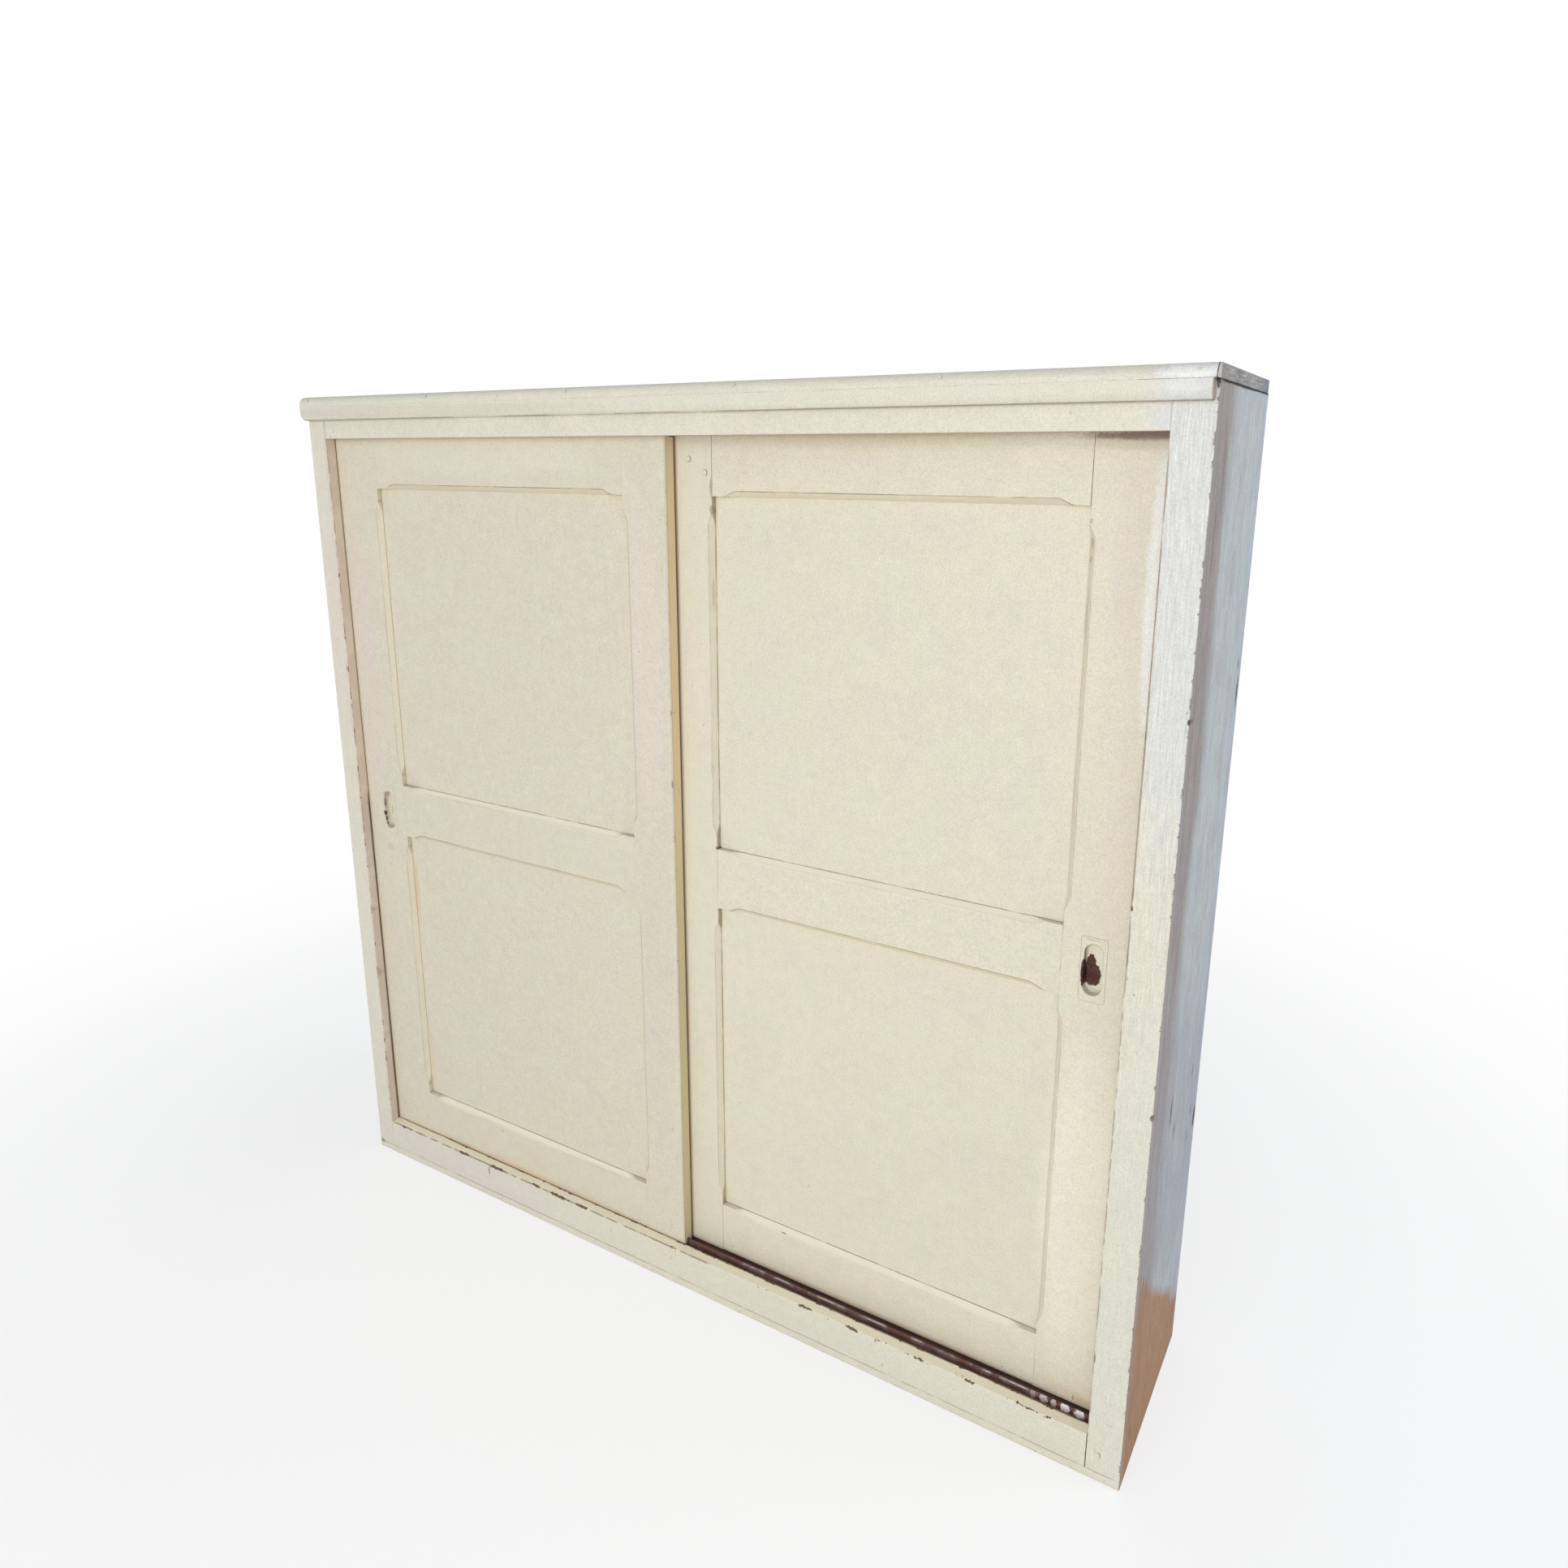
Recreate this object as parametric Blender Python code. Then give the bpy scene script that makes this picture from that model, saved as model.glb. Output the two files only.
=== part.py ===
"""Sliding door cabinet: a painted wooden cupboard with two pegged frame-and-panel doors.

The doors run past each other on grooved wheels over metal rails. The front door closes
the left half and the rear door the right half. +X is to the right as one faces the
doors, -Y is to the front and +Z is up. The origin is on the floor, in the middle.
"""

import math

import bmesh
import bpy
from mathutils import Matrix, Vector

# Carcass
CARCASS_WIDTH = 1.600
CARCASS_HEIGHT = 1.560
CARCASS_DEPTH = 0.340  # front of the face frame to the back
SIDE_THICKNESS = 0.020
TOP_THICKNESS = 0.017
FLOOR_THICKNESS = 0.020
PARTITION_THICKNESS = 0.020
HOUSING_DEPTH = 0.005

# Face frame and mouldings
FRAME_THICKNESS = 0.019
LEFT_FRAME_STILE_WIDTH = 0.044
RIGHT_FRAME_STILE_WIDTH = 0.051
FRAME_TOP_RAIL_HEIGHT = 0.0565
FRAME_BOTTOM_RAIL_HEIGHT = 0.058
FRAME_TENON_LENGTH = 0.026
FRAME_TENON_THICKNESS = 0.007
FRAME_TENON_SHOULDER = 0.009
BASE_STRIP_HEIGHT = 0.015
NOSING_PROJECTION = 0.016
LIPPING_ROUND_HEIGHT = 0.013
BED_MOULD_HEIGHT = 0.024
BED_MOULD_ROUND_HEIGHT = 0.016
BED_MOULD_FOOT = 0.006

# Back
BACK_THICKNESS = 0.012
BACK_REBATE_WIDTH = 0.010
BACK_BOARD_COUNT = 6
BACK_BOARD_LIFT = 0.010
BACK_TONGUE_LENGTH = 0.006
BACK_TONGUE_THICKNESS = 0.004
BACK_V_DEPTH = 0.002

# Doors
DOOR_THICKNESS = 0.022
DOOR_GAP = 0.004
DOOR_EDGE_CLEARANCE = 0.001
DOOR_FOOT_CLEARANCE = 0.0035
DOOR_HEAD_COVER = 0.014
DOOR_TONGUE_THICKNESS = 0.010
DOOR_TONGUE_HEIGHT = 0.015
RUNNING_GAP = 0.0015
LIFT_GAP = 0.003
MEETING_STILE_WIDTH = 0.085
FRONT_OUTER_STILE_WIDTH = 0.126
REAR_OUTER_STILE_WIDTH = 0.129
DOOR_OVERLAP = 0.018  # of one meeting stile behind the other
REAR_DOOR_EXTRA_WIDTH = 0.006
DOOR_TOP_RAIL_WIDTH = 0.102
DOOR_MID_RAIL_WIDTH = 0.103
DOOR_BOTTOM_RAIL_WIDTH = 0.094
LOWER_PANEL_HEIGHT = 0.567
DOOR_TENON_LENGTH = 0.060
DOOR_TENON_SHOULDER = 0.015
PANEL_THICKNESS = 0.007
PANEL_RECESS = 0.009
PANEL_TONGUE = 0.008
PANEL_GROOVE_DEPTH = 0.009

# Stopped chamfers
CHAMFER_LEG = 0.008
CHAMFER_PLAIN_LENGTH = 0.020
CHAMFER_STOP_LENGTH = 0.024
CHAMFER_STOP_STEPS = 8

# Flush pulls
PULL_HEIGHT = 0.708  # above the door's foot
PULL_FROM_PANEL = 0.045
PULL_PLATE_WIDTH = 0.036
PULL_PLATE_HEIGHT = 0.095
PULL_PLATE_CORNER = 0.003
PULL_WALL = 0.0012
PULL_CUP_WIDTH = 0.026
PULL_CUP_HEIGHT = 0.076
PULL_CUP_DEPTH = 0.010
PULL_CUP_DRAFT = 0.0015
PULL_CUP_FILLET = 0.0025
PULL_TENON_MARGIN = 0.003

# Sill, head and running gear
SILL_DROP = 0.0065  # top of the face frame's bottom rail down to the sill
SILL_DEPTH_BEHIND_DOORS = 0.008
TRACK_WIDTH = 0.004
TRACK_HEIGHT = 0.0095  # above the sill
TRACK_SEAT = 0.006
TRACK_PLOUGH_WIDTH = 0.008
TRACK_PLOUGH_DEPTH = 0.009
HEAD_LIFT = 0.006
SHEAVE_FROM_STILE = 0.070
WHEEL_RADIUS = 0.014
WHEEL_WIDTH = 0.009
WHEEL_ARRIS = 0.0005
WHEEL_GROOVE_DEPTH = 0.0025
WHEEL_GROOVE_FLOOR = 0.0046
WHEEL_GROOVE_MOUTH = 0.0066
WHEEL_STEPS = 40
PIN_RADIUS = 0.0025
PIN_CLEARANCE = 0.0001
PIN_STEPS = 20
SHEAVE_LENGTH = 0.050
SHEAVE_PLATE_WIDTH = 0.0185
SHEAVE_PLATE_THICKNESS = 0.002
SHEAVE_WALL = 0.0015
SHEAVE_WHEEL_ROOM = 0.0008

# Inside
SHELF_THICKNESS = 0.018
SHELF_SETBACK = 0.004
SHELF_HEIGHT_SHARES = (0.34, 0.68)  # of the room between floor and top board
BATTEN_THICKNESS = 0.018
BATTEN_HEIGHT = 0.022
BATTEN_SETBACK = 0.012
BATTEN_SPLAY = 0.010

# Fits and edges
FIT = 0.0003
EASED_EDGE = 0.0012
WORN_CORNER = 0.004
OVERRUN = 0.004
CHAMFER_OVERRUN = 0.0006
ROUND_STEPS = 8

# Places that follow from the sizes
LEFT = -CARCASS_WIDTH / 2
RIGHT = CARCASS_WIDTH / 2
FRONT = -(CARCASS_DEPTH - NOSING_PROJECTION) / 2
BACK = FRONT + CARCASS_DEPTH
FRAME_BACK = FRONT + FRAME_THICKNESS
BACK_FACE = BACK - BACK_THICKNESS
INNER_LEFT = LEFT + SIDE_THICKNESS
INNER_RIGHT = RIGHT - SIDE_THICKNESS
TOP_UNDERSIDE = CARCASS_HEIGHT - TOP_THICKNESS
OPENING_LEFT = LEFT + LEFT_FRAME_STILE_WIDTH
OPENING_RIGHT = RIGHT - RIGHT_FRAME_STILE_WIDTH
OPENING_BOTTOM = BASE_STRIP_HEIGHT + FRAME_BOTTOM_RAIL_HEIGHT
OPENING_TOP = TOP_UNDERSIDE - FRAME_TOP_RAIL_HEIGHT
FLOOR_TOP = OPENING_BOTTOM - SILL_DROP
FLOOR_UNDERSIDE = FLOOR_TOP - FLOOR_THICKNESS
FRONT_DOOR_FACE = FRAME_BACK + RUNNING_GAP
REAR_DOOR_FACE = FRONT_DOOR_FACE + DOOR_THICKNESS + DOOR_GAP
SILL_BACK = REAR_DOOR_FACE + DOOR_THICKNESS + SILL_DEPTH_BEHIND_DOORS
DOORS_WIDTH = INNER_RIGHT - INNER_LEFT - 2 * DOOR_EDGE_CLEARANCE + DOOR_OVERLAP
FRONT_DOOR_WIDTH = (DOORS_WIDTH - REAR_DOOR_EXTRA_WIDTH) / 2
REAR_DOOR_WIDTH = (DOORS_WIDTH + REAR_DOOR_EXTRA_WIDTH) / 2
FRONT_PANEL_WIDTH = FRONT_DOOR_WIDTH - FRONT_OUTER_STILE_WIDTH - MEETING_STILE_WIDTH
REAR_PANEL_WIDTH = REAR_DOOR_WIDTH - REAR_OUTER_STILE_WIDTH - MEETING_STILE_WIDTH
DOOR_BOTTOM = FLOOR_TOP + DOOR_FOOT_CLEARANCE
DOOR_TOP = OPENING_TOP + DOOR_HEAD_COVER
DOOR_HEIGHT = DOOR_TOP - DOOR_BOTTOM
HEAD_UNDERSIDE = DOOR_TOP + HEAD_LIFT
BEAD_BOTTOM = DOOR_TOP - DOOR_TONGUE_HEIGHT + LIFT_GAP
TRACK_TOP = FLOOR_TOP + TRACK_HEIGHT
WHEEL_RUN_RADIUS = WHEEL_RADIUS - WHEEL_GROOVE_DEPTH
PIN_HEIGHT = TRACK_TOP + FIT + WHEEL_RUN_RADIUS - DOOR_BOTTOM  # above the door's foot
SHEAVE_SLOT_WIDTH = WHEEL_WIDTH + 2 * FIT
SHEAVE_SLOT_TOP = PIN_HEIGHT + WHEEL_RADIUS + SHEAVE_WHEEL_ROOM


class Finish:
    """A plain paint, wood or metal that pieces share."""

    def __init__(self, name, colour, roughness, metallic=0.0):
        self.material = bpy.data.materials.new(name)
        self.material.use_nodes = True
        shader = self.material.node_tree.nodes["Principled BSDF"]
        shader.inputs["Base Color"].default_value = (*colour, 1.0)
        shader.inputs["Roughness"].default_value = roughness
        shader.inputs["Metallic"].default_value = metallic
        self.material.diffuse_color = (*colour, 1.0)


def clear_scene():
    """Removes whatever the start-up scene holds."""
    for thing in list(bpy.data.objects):
        bpy.data.objects.remove(thing, do_unlink=True)


def add_object(name, mesh, finish=None, place=(0, 0, 0), parent=None):
    """Links a new object with this mesh at a place, under a parent if it has one."""
    thing = bpy.data.objects.new(name, mesh)
    bpy.context.scene.collection.objects.link(thing)
    thing.location = place
    thing.parent = parent
    if finish is not None:
        mesh.materials.append(finish.material)
    return thing


def mesh_from(name, shape):
    """Turns a bmesh with outward normals into a mesh, and frees it."""
    bmesh.ops.recalc_face_normals(shape, faces=shape.faces)
    mesh = bpy.data.meshes.new(name)
    shape.to_mesh(mesh)
    shape.free()
    return mesh


def box_shape(low, high):
    """A bmesh box from its lowest to its highest corner."""
    low, high = Vector(low), Vector(high)
    shape = bmesh.new()
    bmesh.ops.create_cube(shape, size=1.0)
    bmesh.ops.scale(shape, vec=high - low, verts=shape.verts)
    bmesh.ops.translate(shape, vec=(low + high) / 2, verts=shape.verts)
    return shape


def runs_along(edge, axis):
    """Whether an edge lies along X, Y or Z, given as 0, 1 or 2."""
    run = edge.verts[1].co - edge.verts[0].co
    return abs(run[axis]) > (1 - 1e-6) * run.length


def ease_edges(shape, chosen, width=EASED_EDGE, steps=2):
    """Rounds over the edges that the test picks."""
    edges = [edge for edge in shape.edges if chosen(edge)]
    bmesh.ops.bevel(
        shape, geom=edges, offset=width, segments=steps, profile=0.5, affect="EDGES"
    )


def near(value, target):
    """Whether two places are one, well within any clearance."""
    return abs(value - target) < FIT / 10


def at_front(low):
    """A test for edges on the face at the lowest Y."""
    return lambda edge: all(near(vert.co.y, low) for vert in edge.verts)


def board(name, low, high, finish, eased=None, parent=None):
    """A plain board between two corners, its origin in its middle."""
    low, high = Vector(low), Vector(high)
    middle = (low + high) / 2
    shape = box_shape(low - middle, high - middle)
    if eased is not None:
        ease_edges(shape, eased)
    return add_object(name, mesh_from(name, shape), finish, middle, parent)


def prism_shape(outline, axis, start, end):
    """A bmesh of an outline drawn across an axis, extruded along it from start to end.

    The outline's points are the two other coordinates, in the order X, Y, Z.
    """
    shape = bmesh.new()
    ring = []
    for across, up in outline:
        point = [across, up]
        point.insert(axis, start)
        ring.append(shape.verts.new(point))
    face = shape.faces.new(ring)
    grown = bmesh.ops.extrude_face_region(shape, geom=[face])
    travel = [0.0, 0.0, 0.0]
    travel[axis] = end - start
    moved = [part for part in grown["geom"] if isinstance(part, bmesh.types.BMVert)]
    bmesh.ops.translate(shape, vec=travel, verts=moved)
    return shape


def prism(name, outline, axis, start, end, finish, parent=None):
    """An object of an extruded outline, its origin in its middle."""
    shape = prism_shape(outline, axis, start, end)
    places = [vert.co for vert in shape.verts]
    sides = [[place[way] for place in places] for way in range(3)]
    middle = Vector([(min(side) + max(side)) / 2 for side in sides])
    bmesh.ops.translate(shape, vec=-middle, verts=shape.verts)
    return add_object(name, mesh_from(name, shape), finish, middle, parent)


def rounded_loop(half_width, half_height, radius, depth):
    """Points of a rounded rectangle in the plane y = depth, the same count each time."""
    corners = ((1, 1), (-1, 1), (-1, -1), (1, -1))
    points = []
    for turn, (side, up) in enumerate(corners):
        for step in range(ROUND_STEPS):
            angle = (turn + step / (ROUND_STEPS - 1)) * math.pi / 2
            x = side * (half_width - radius) + radius * math.cos(angle)
            z = up * (half_height - radius) + radius * math.sin(angle)
            points.append((x, depth, z))
    return points


def loft_shape(loops):
    """Joins loops of as many points each by faces, with both ends closed."""
    shape = bmesh.new()
    rings = [[shape.verts.new(point) for point in loop] for loop in loops]
    for one, other in zip(rings, rings[1:]):
        for i, vert in enumerate(one):
            following = (i + 1) % len(one)
            shape.faces.new((vert, one[following], other[following], other[i]))
    shape.faces.new(rings[0])
    shape.faces.new(rings[-1])
    bmesh.ops.remove_doubles(shape, verts=shape.verts, dist=FIT / 100)
    return shape


def turned_mesh(name, profile, steps):
    """Turns a closed profile of (radius, place along Y) round the Y axis."""
    shape = bmesh.new()
    verts = [shape.verts.new((radius, along, 0.0)) for radius, along in profile]
    pairs = zip(verts, verts[1:] + verts[:1])
    edges = [shape.edges.new(pair) for pair in pairs]
    bmesh.ops.spin(
        shape,
        geom=verts + edges,
        cent=(0, 0, 0),
        axis=(0, 1, 0),
        angle=math.tau,
        steps=steps,
        use_merge=True,
    )
    bmesh.ops.remove_doubles(shape, verts=shape.verts, dist=FIT / 100)
    mesh = mesh_from(name, shape)
    mesh.shade_smooth()
    mesh.set_sharp_from_angle(angle=math.radians(35))
    return mesh


def shape_by(thing, tool_shape, operation="DIFFERENCE", place=(0, 0, 0)):
    """Cuts a hidden tool from an object, or joins it on, by a Boolean."""
    count = len(thing.modifiers) + 1
    name = f"{thing.name}_tool_{count}"
    tool = add_object(name, mesh_from(name, tool_shape), place=place)
    tool.parent = thing.parent
    tool.hide_render = True
    tool.display_type = "WIRE"
    step = thing.modifiers.new(f"tool_{count}", "BOOLEAN")
    step.operation = operation
    step.solver = "EXACT"
    step.object = tool


def cut_box(thing, low, high):
    """Cuts a box-shaped housing, groove, mortise or rebate."""
    shape_by(thing, box_shape(low, high))


def join_box(thing, low, high):
    """Joins a box, such as a tenon, on to an object."""
    shape_by(thing, box_shape(low, high), "UNION")


def chamfer_shape(start, end, inward):
    """The tool for a stopped chamfer along an arris from start to end.

    The arris lies in a front face that looks to -Y. Inward points along that face from
    the arris into the wood. The chamfer starts a plain length in from each end, and
    comes up to its full leg along a double curve.
    """
    start, end, inward = Vector(start), Vector(end), Vector(inward)
    along = (end - start).normalized()
    deeper = Vector((0, 1, 0))
    stations = []
    for step in range(CHAMFER_STOP_STEPS + 1):
        share = step / CHAMFER_STOP_STEPS
        rise = (1 - math.cos(math.pi * share)) / 2
        leg = (CHAMFER_LEG + CHAMFER_OVERRUN) * rise - CHAMFER_OVERRUN
        stations.append((CHAMFER_PLAIN_LENGTH + share * CHAMFER_STOP_LENGTH, leg))
    length = (end - start).length
    stations += [(length - place, leg) for place, leg in reversed(stations)]
    reach = 2 * CHAMFER_OVERRUN
    loops = []
    for place, leg in stations:
        arris = start + along * place
        loops.append(
            (
                arris + inward * (leg + reach) - deeper * reach,
                arris + deeper * (leg + reach) - inward * reach,
                arris - (inward + deeper) * reach,
            )
        )
    return loft_shape(loops)


def cup_loops(growth):
    """Loops from the mouth of a pull's cup to its floor, grown outwards by a thickness."""
    fillet = PULL_CUP_FILLET + growth
    steps = [(-growth, growth)]
    for step in range(ROUND_STEPS):
        angle = step / (ROUND_STEPS - 1) * math.pi / 2
        inset = PULL_CUP_DRAFT + PULL_CUP_FILLET - fillet * math.cos(angle)
        depth = PULL_CUP_DEPTH - PULL_CUP_FILLET + fillet * math.sin(angle)
        steps.append((inset, depth))
    loops = []
    for inset, depth in steps:
        half_width = PULL_CUP_WIDTH / 2 - inset
        half_height = PULL_CUP_HEIGHT / 2 - inset
        loops.append(rounded_loop(half_width, half_height, half_width, depth))
    return loops


def plate_loop(room, depth):
    """The outline of a pull's plate, with room all round."""
    return rounded_loop(
        PULL_PLATE_WIDTH / 2 + room,
        PULL_PLATE_HEIGHT / 2 + room,
        PULL_PLATE_CORNER + room,
        depth,
    )


def pull_shape():
    """A plate with a cup pressed into it, as one skin folded back round its rim."""
    front = [plate_loop(0.0, 0.0), *cup_loops(0.0)]
    back = [plate_loop(0.0, PULL_WALL), *cup_loops(PULL_WALL)]
    return loft_shape([*reversed(front), *back])


def pull_pocket_shape():
    """The tool for a pull's housing in the stile, with room all round."""
    room = PULL_WALL + FIT
    mouth = [plate_loop(FIT, -OVERRUN), plate_loop(FIT, room)]
    return loft_shape([*mouth, *cup_loops(room)])


def sheave_outline(room, foot):
    """The outside of a sheave housing across the door, from its middle, with room."""
    plate = SHEAVE_PLATE_WIDTH / 2 + room
    body = SHEAVE_SLOT_WIDTH / 2 + SHEAVE_WALL + room
    shoulder = SHEAVE_PLATE_THICKNESS + room
    crown = SHEAVE_SLOT_TOP + SHEAVE_WALL + room
    half = ((plate, foot), (plate, shoulder), (body, shoulder), (body, crown))
    middle = DOOR_THICKNESS / 2
    far_side = [(middle + across, up) for across, up in half]
    near_side = [(middle - across, up) for across, up in reversed(half)]
    return far_side + near_side


def pin_shape():
    """A wheel's pin along Y, riveted into both cheeks of its housing."""
    shape = bmesh.new()
    bmesh.ops.create_cone(
        shape,
        cap_ends=True,
        segments=PIN_STEPS,
        radius1=PIN_RADIUS,
        radius2=PIN_RADIUS,
        depth=SHEAVE_SLOT_WIDTH + SHEAVE_WALL,
        matrix=Matrix.Rotation(math.pi / 2, 4, "X"),
    )
    return shape


def wheel_profile():
    """Half a grooved wheel's section, as radius and place along its pin."""
    half = (
        (PIN_RADIUS + PIN_CLEARANCE, WHEEL_WIDTH / 2),
        (WHEEL_RADIUS - WHEEL_ARRIS, WHEEL_WIDTH / 2),
        (WHEEL_RADIUS, WHEEL_WIDTH / 2 - WHEEL_ARRIS),
        (WHEEL_RADIUS, WHEEL_GROOVE_MOUTH / 2),
        (WHEEL_RUN_RADIUS, WHEEL_GROOVE_FLOOR / 2),
    )
    return [*half, *((radius, -along) for radius, along in reversed(half))]


def quarter_round(centre, across, up, turn):
    """Points of a quarter ellipse in the YZ plane, from an angle in quarter turns."""
    points = []
    for step in range(ROUND_STEPS + 1):
        angle = (turn + step / ROUND_STEPS) * math.pi / 2
        points.append(
            (centre[0] + across * math.cos(angle), centre[1] + up * math.sin(angle))
        )
    return points


def build_sides(paint):
    """The two side panels, rebated for the back and housed for the floor boards."""
    for name, side in (("side_panel_left", -1), ("side_panel_right", 1)):
        outer = side * CARCASS_WIDTH / 2
        inner = outer - side * SIDE_THICKNESS
        rebate = inner + side * BACK_REBATE_WIDTH
        outline = (
            (outer, FRAME_BACK + FIT),
            (inner, FRAME_BACK + FIT),
            (inner, BACK_FACE - FIT),
            (rebate, BACK_FACE - FIT),
            (rebate, BACK),
            (outer, BACK),
        )
        panel = prism(name, outline, 2, 0.0, TOP_UNDERSIDE - FIT, paint)
        reach = sorted((inner - side * OVERRUN, inner + side * HOUSING_DEPTH))
        cut_box(
            panel,
            (reach[0], FRONT, FLOOR_UNDERSIDE - FIT),
            (reach[1], BACK + OVERRUN, FLOOR_TOP + FIT),
        )


def build_top(paint, worn_wood):
    """The top board, its rounded lipping and the bed moulding below."""
    low = Vector((LEFT, FRONT, TOP_UNDERSIDE))
    high = Vector((RIGHT, BACK, CARCASS_HEIGHT))
    middle = (low + high) / 2
    shape = box_shape(low - middle, high - middle)
    back_edge = BACK - middle.y
    ease_edges(
        shape,
        lambda edge: runs_along(edge, 2) and near(edge.verts[0].co.y, back_edge),
        WORN_CORNER,
        3,
    )
    top = add_object("top_board", mesh_from("top_board", shape), worn_wood, middle)
    cut_box(
        top,
        (-PARTITION_THICKNESS / 2 - FIT, SILL_BACK, TOP_UNDERSIDE - OVERRUN),
        (PARTITION_THICKNESS / 2 + FIT, BACK_FACE, TOP_UNDERSIDE + HOUSING_DEPTH),
    )
    nose = FRONT - NOSING_PROJECTION
    seat = FRONT - FIT
    rounding = quarter_round(
        (seat, CARCASS_HEIGHT - LIPPING_ROUND_HEIGHT),
        seat - nose,
        LIPPING_ROUND_HEIGHT,
        1,
    )
    lipping = [(seat, TOP_UNDERSIDE), *rounding, (nose, TOP_UNDERSIDE)]
    prism("top_lipping", lipping, 0, LEFT, RIGHT, paint)
    mould_top = TOP_UNDERSIDE - FIT
    mould_foot = TOP_UNDERSIDE - BED_MOULD_HEIGHT
    ovolo = quarter_round(
        (seat - BED_MOULD_FOOT, mould_foot + BED_MOULD_ROUND_HEIGHT),
        seat - BED_MOULD_FOOT - nose,
        BED_MOULD_ROUND_HEIGHT,
        2,
    )
    mould = [(seat, mould_top), (nose, mould_top), *ovolo, (seat, mould_foot)]
    prism("bed_mould", mould, 0, LEFT, RIGHT, paint)


def build_face_frame(paint):
    """The face frame's stiles and tenoned rails, on the base strip."""
    low, high = BASE_STRIP_HEIGHT + FIT, TOP_UNDERSIDE - FIT
    tenon_front = FRONT + (FRAME_THICKNESS - FRAME_TENON_THICKNESS) / 2
    tenon_back = tenon_front + FRAME_TENON_THICKNESS
    rails = (
        ("face_top_rail", OPENING_TOP, high),
        ("face_bottom_rail", low, OPENING_BOTTOM),
    )
    stiles = (
        ("face_stile_left", LEFT, OPENING_LEFT, -1),
        ("face_stile_right", OPENING_RIGHT, RIGHT, 1),
    )
    for name, left, right, side in stiles:
        outer = left if side < 0 else right
        middle = (left + right) / 2
        stile = board(
            name,
            (left, FRONT, low),
            (right, FRAME_BACK, high),
            paint,
            lambda edge: runs_along(edge, 2)
            and edge.verts[0].co.y < 0
            and near(edge.verts[0].co.x, outer - middle),
        )
        inner = left if side > 0 else right
        reach = sorted(
            (inner - side * OVERRUN, inner + side * (FRAME_TENON_LENGTH + FIT))
        )
        for _, rail_low, rail_high in rails:
            cut_box(
                stile,
                (reach[0], tenon_front - FIT, rail_low + FRAME_TENON_SHOULDER - FIT),
                (reach[1], tenon_back + FIT, rail_high - FRAME_TENON_SHOULDER + FIT),
            )
    for name, rail_low, rail_high in rails:
        rail = board(
            name,
            (OPENING_LEFT + FIT, FRONT, rail_low),
            (OPENING_RIGHT - FIT, FRAME_BACK, rail_high),
            paint,
        )
        join_box(
            rail,
            (
                OPENING_LEFT - FRAME_TENON_LENGTH,
                tenon_front,
                rail_low + FRAME_TENON_SHOULDER,
            ),
            (
                OPENING_RIGHT + FRAME_TENON_LENGTH,
                tenon_back,
                rail_high - FRAME_TENON_SHOULDER,
            ),
        )
    board(
        "base_strip",
        (LEFT, FRONT, 0.0),
        (RIGHT, FRAME_BACK, BASE_STRIP_HEIGHT),
        paint,
        lambda edge: runs_along(edge, 0) and edge.verts[0].co.y < 0,
    )


def build_floor(bare_wood, paint):
    """The sill with its two track grooves, and the bottom board behind it."""
    ends = (INNER_LEFT - HOUSING_DEPTH + FIT, INNER_RIGHT + HOUSING_DEPTH - FIT)
    outline = [(FRAME_BACK + FIT, FLOOR_UNDERSIDE), (FRAME_BACK + FIT, FLOOR_TOP)]
    for door_face in (FRONT_DOOR_FACE, REAR_DOOR_FACE):
        middle = door_face + DOOR_THICKNESS / 2
        near_side = middle - TRACK_WIDTH / 2 - FIT
        far_side = middle + TRACK_WIDTH / 2 + FIT
        seat = FLOOR_TOP - TRACK_SEAT - FIT
        outline += [
            (near_side, FLOOR_TOP),
            (near_side, seat),
            (far_side, seat),
            (far_side, FLOOR_TOP),
        ]
    outline += [(SILL_BACK, FLOOR_TOP), (SILL_BACK, FLOOR_UNDERSIDE)]
    prism("sill_board", outline, 0, *ends, bare_wood)
    bottom = board(
        "bottom_board",
        (ends[0], SILL_BACK + FIT, FLOOR_UNDERSIDE),
        (ends[1], BACK_FACE - FIT, FLOOR_TOP),
        paint,
    )
    cut_box(
        bottom,
        (-PARTITION_THICKNESS / 2 - FIT, SILL_BACK, FLOOR_TOP - HOUSING_DEPTH),
        (PARTITION_THICKNESS / 2 + FIT, BACK, FLOOR_TOP + OVERRUN),
    )


def build_tracks(metal):
    """The two running rails, flat bars with rounded tops set in the sill."""
    radius = TRACK_WIDTH / 2
    tracks = (("front_track", FRONT_DOOR_FACE), ("rear_track", REAR_DOOR_FACE))
    for name, door_face in tracks:
        middle = door_face + DOOR_THICKNESS / 2
        foot = FLOOR_TOP - TRACK_SEAT
        crown = [
            (
                middle + radius * math.cos(step / ROUND_STEPS * math.pi),
                TRACK_TOP - radius + radius * math.sin(step / ROUND_STEPS * math.pi),
            )
            for step in range(ROUND_STEPS + 1)
        ]
        outline = [*crown, (middle - radius, foot), (middle + radius, foot)]
        prism(name, outline, 0, INNER_LEFT + FIT, INNER_RIGHT - FIT, metal)


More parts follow.
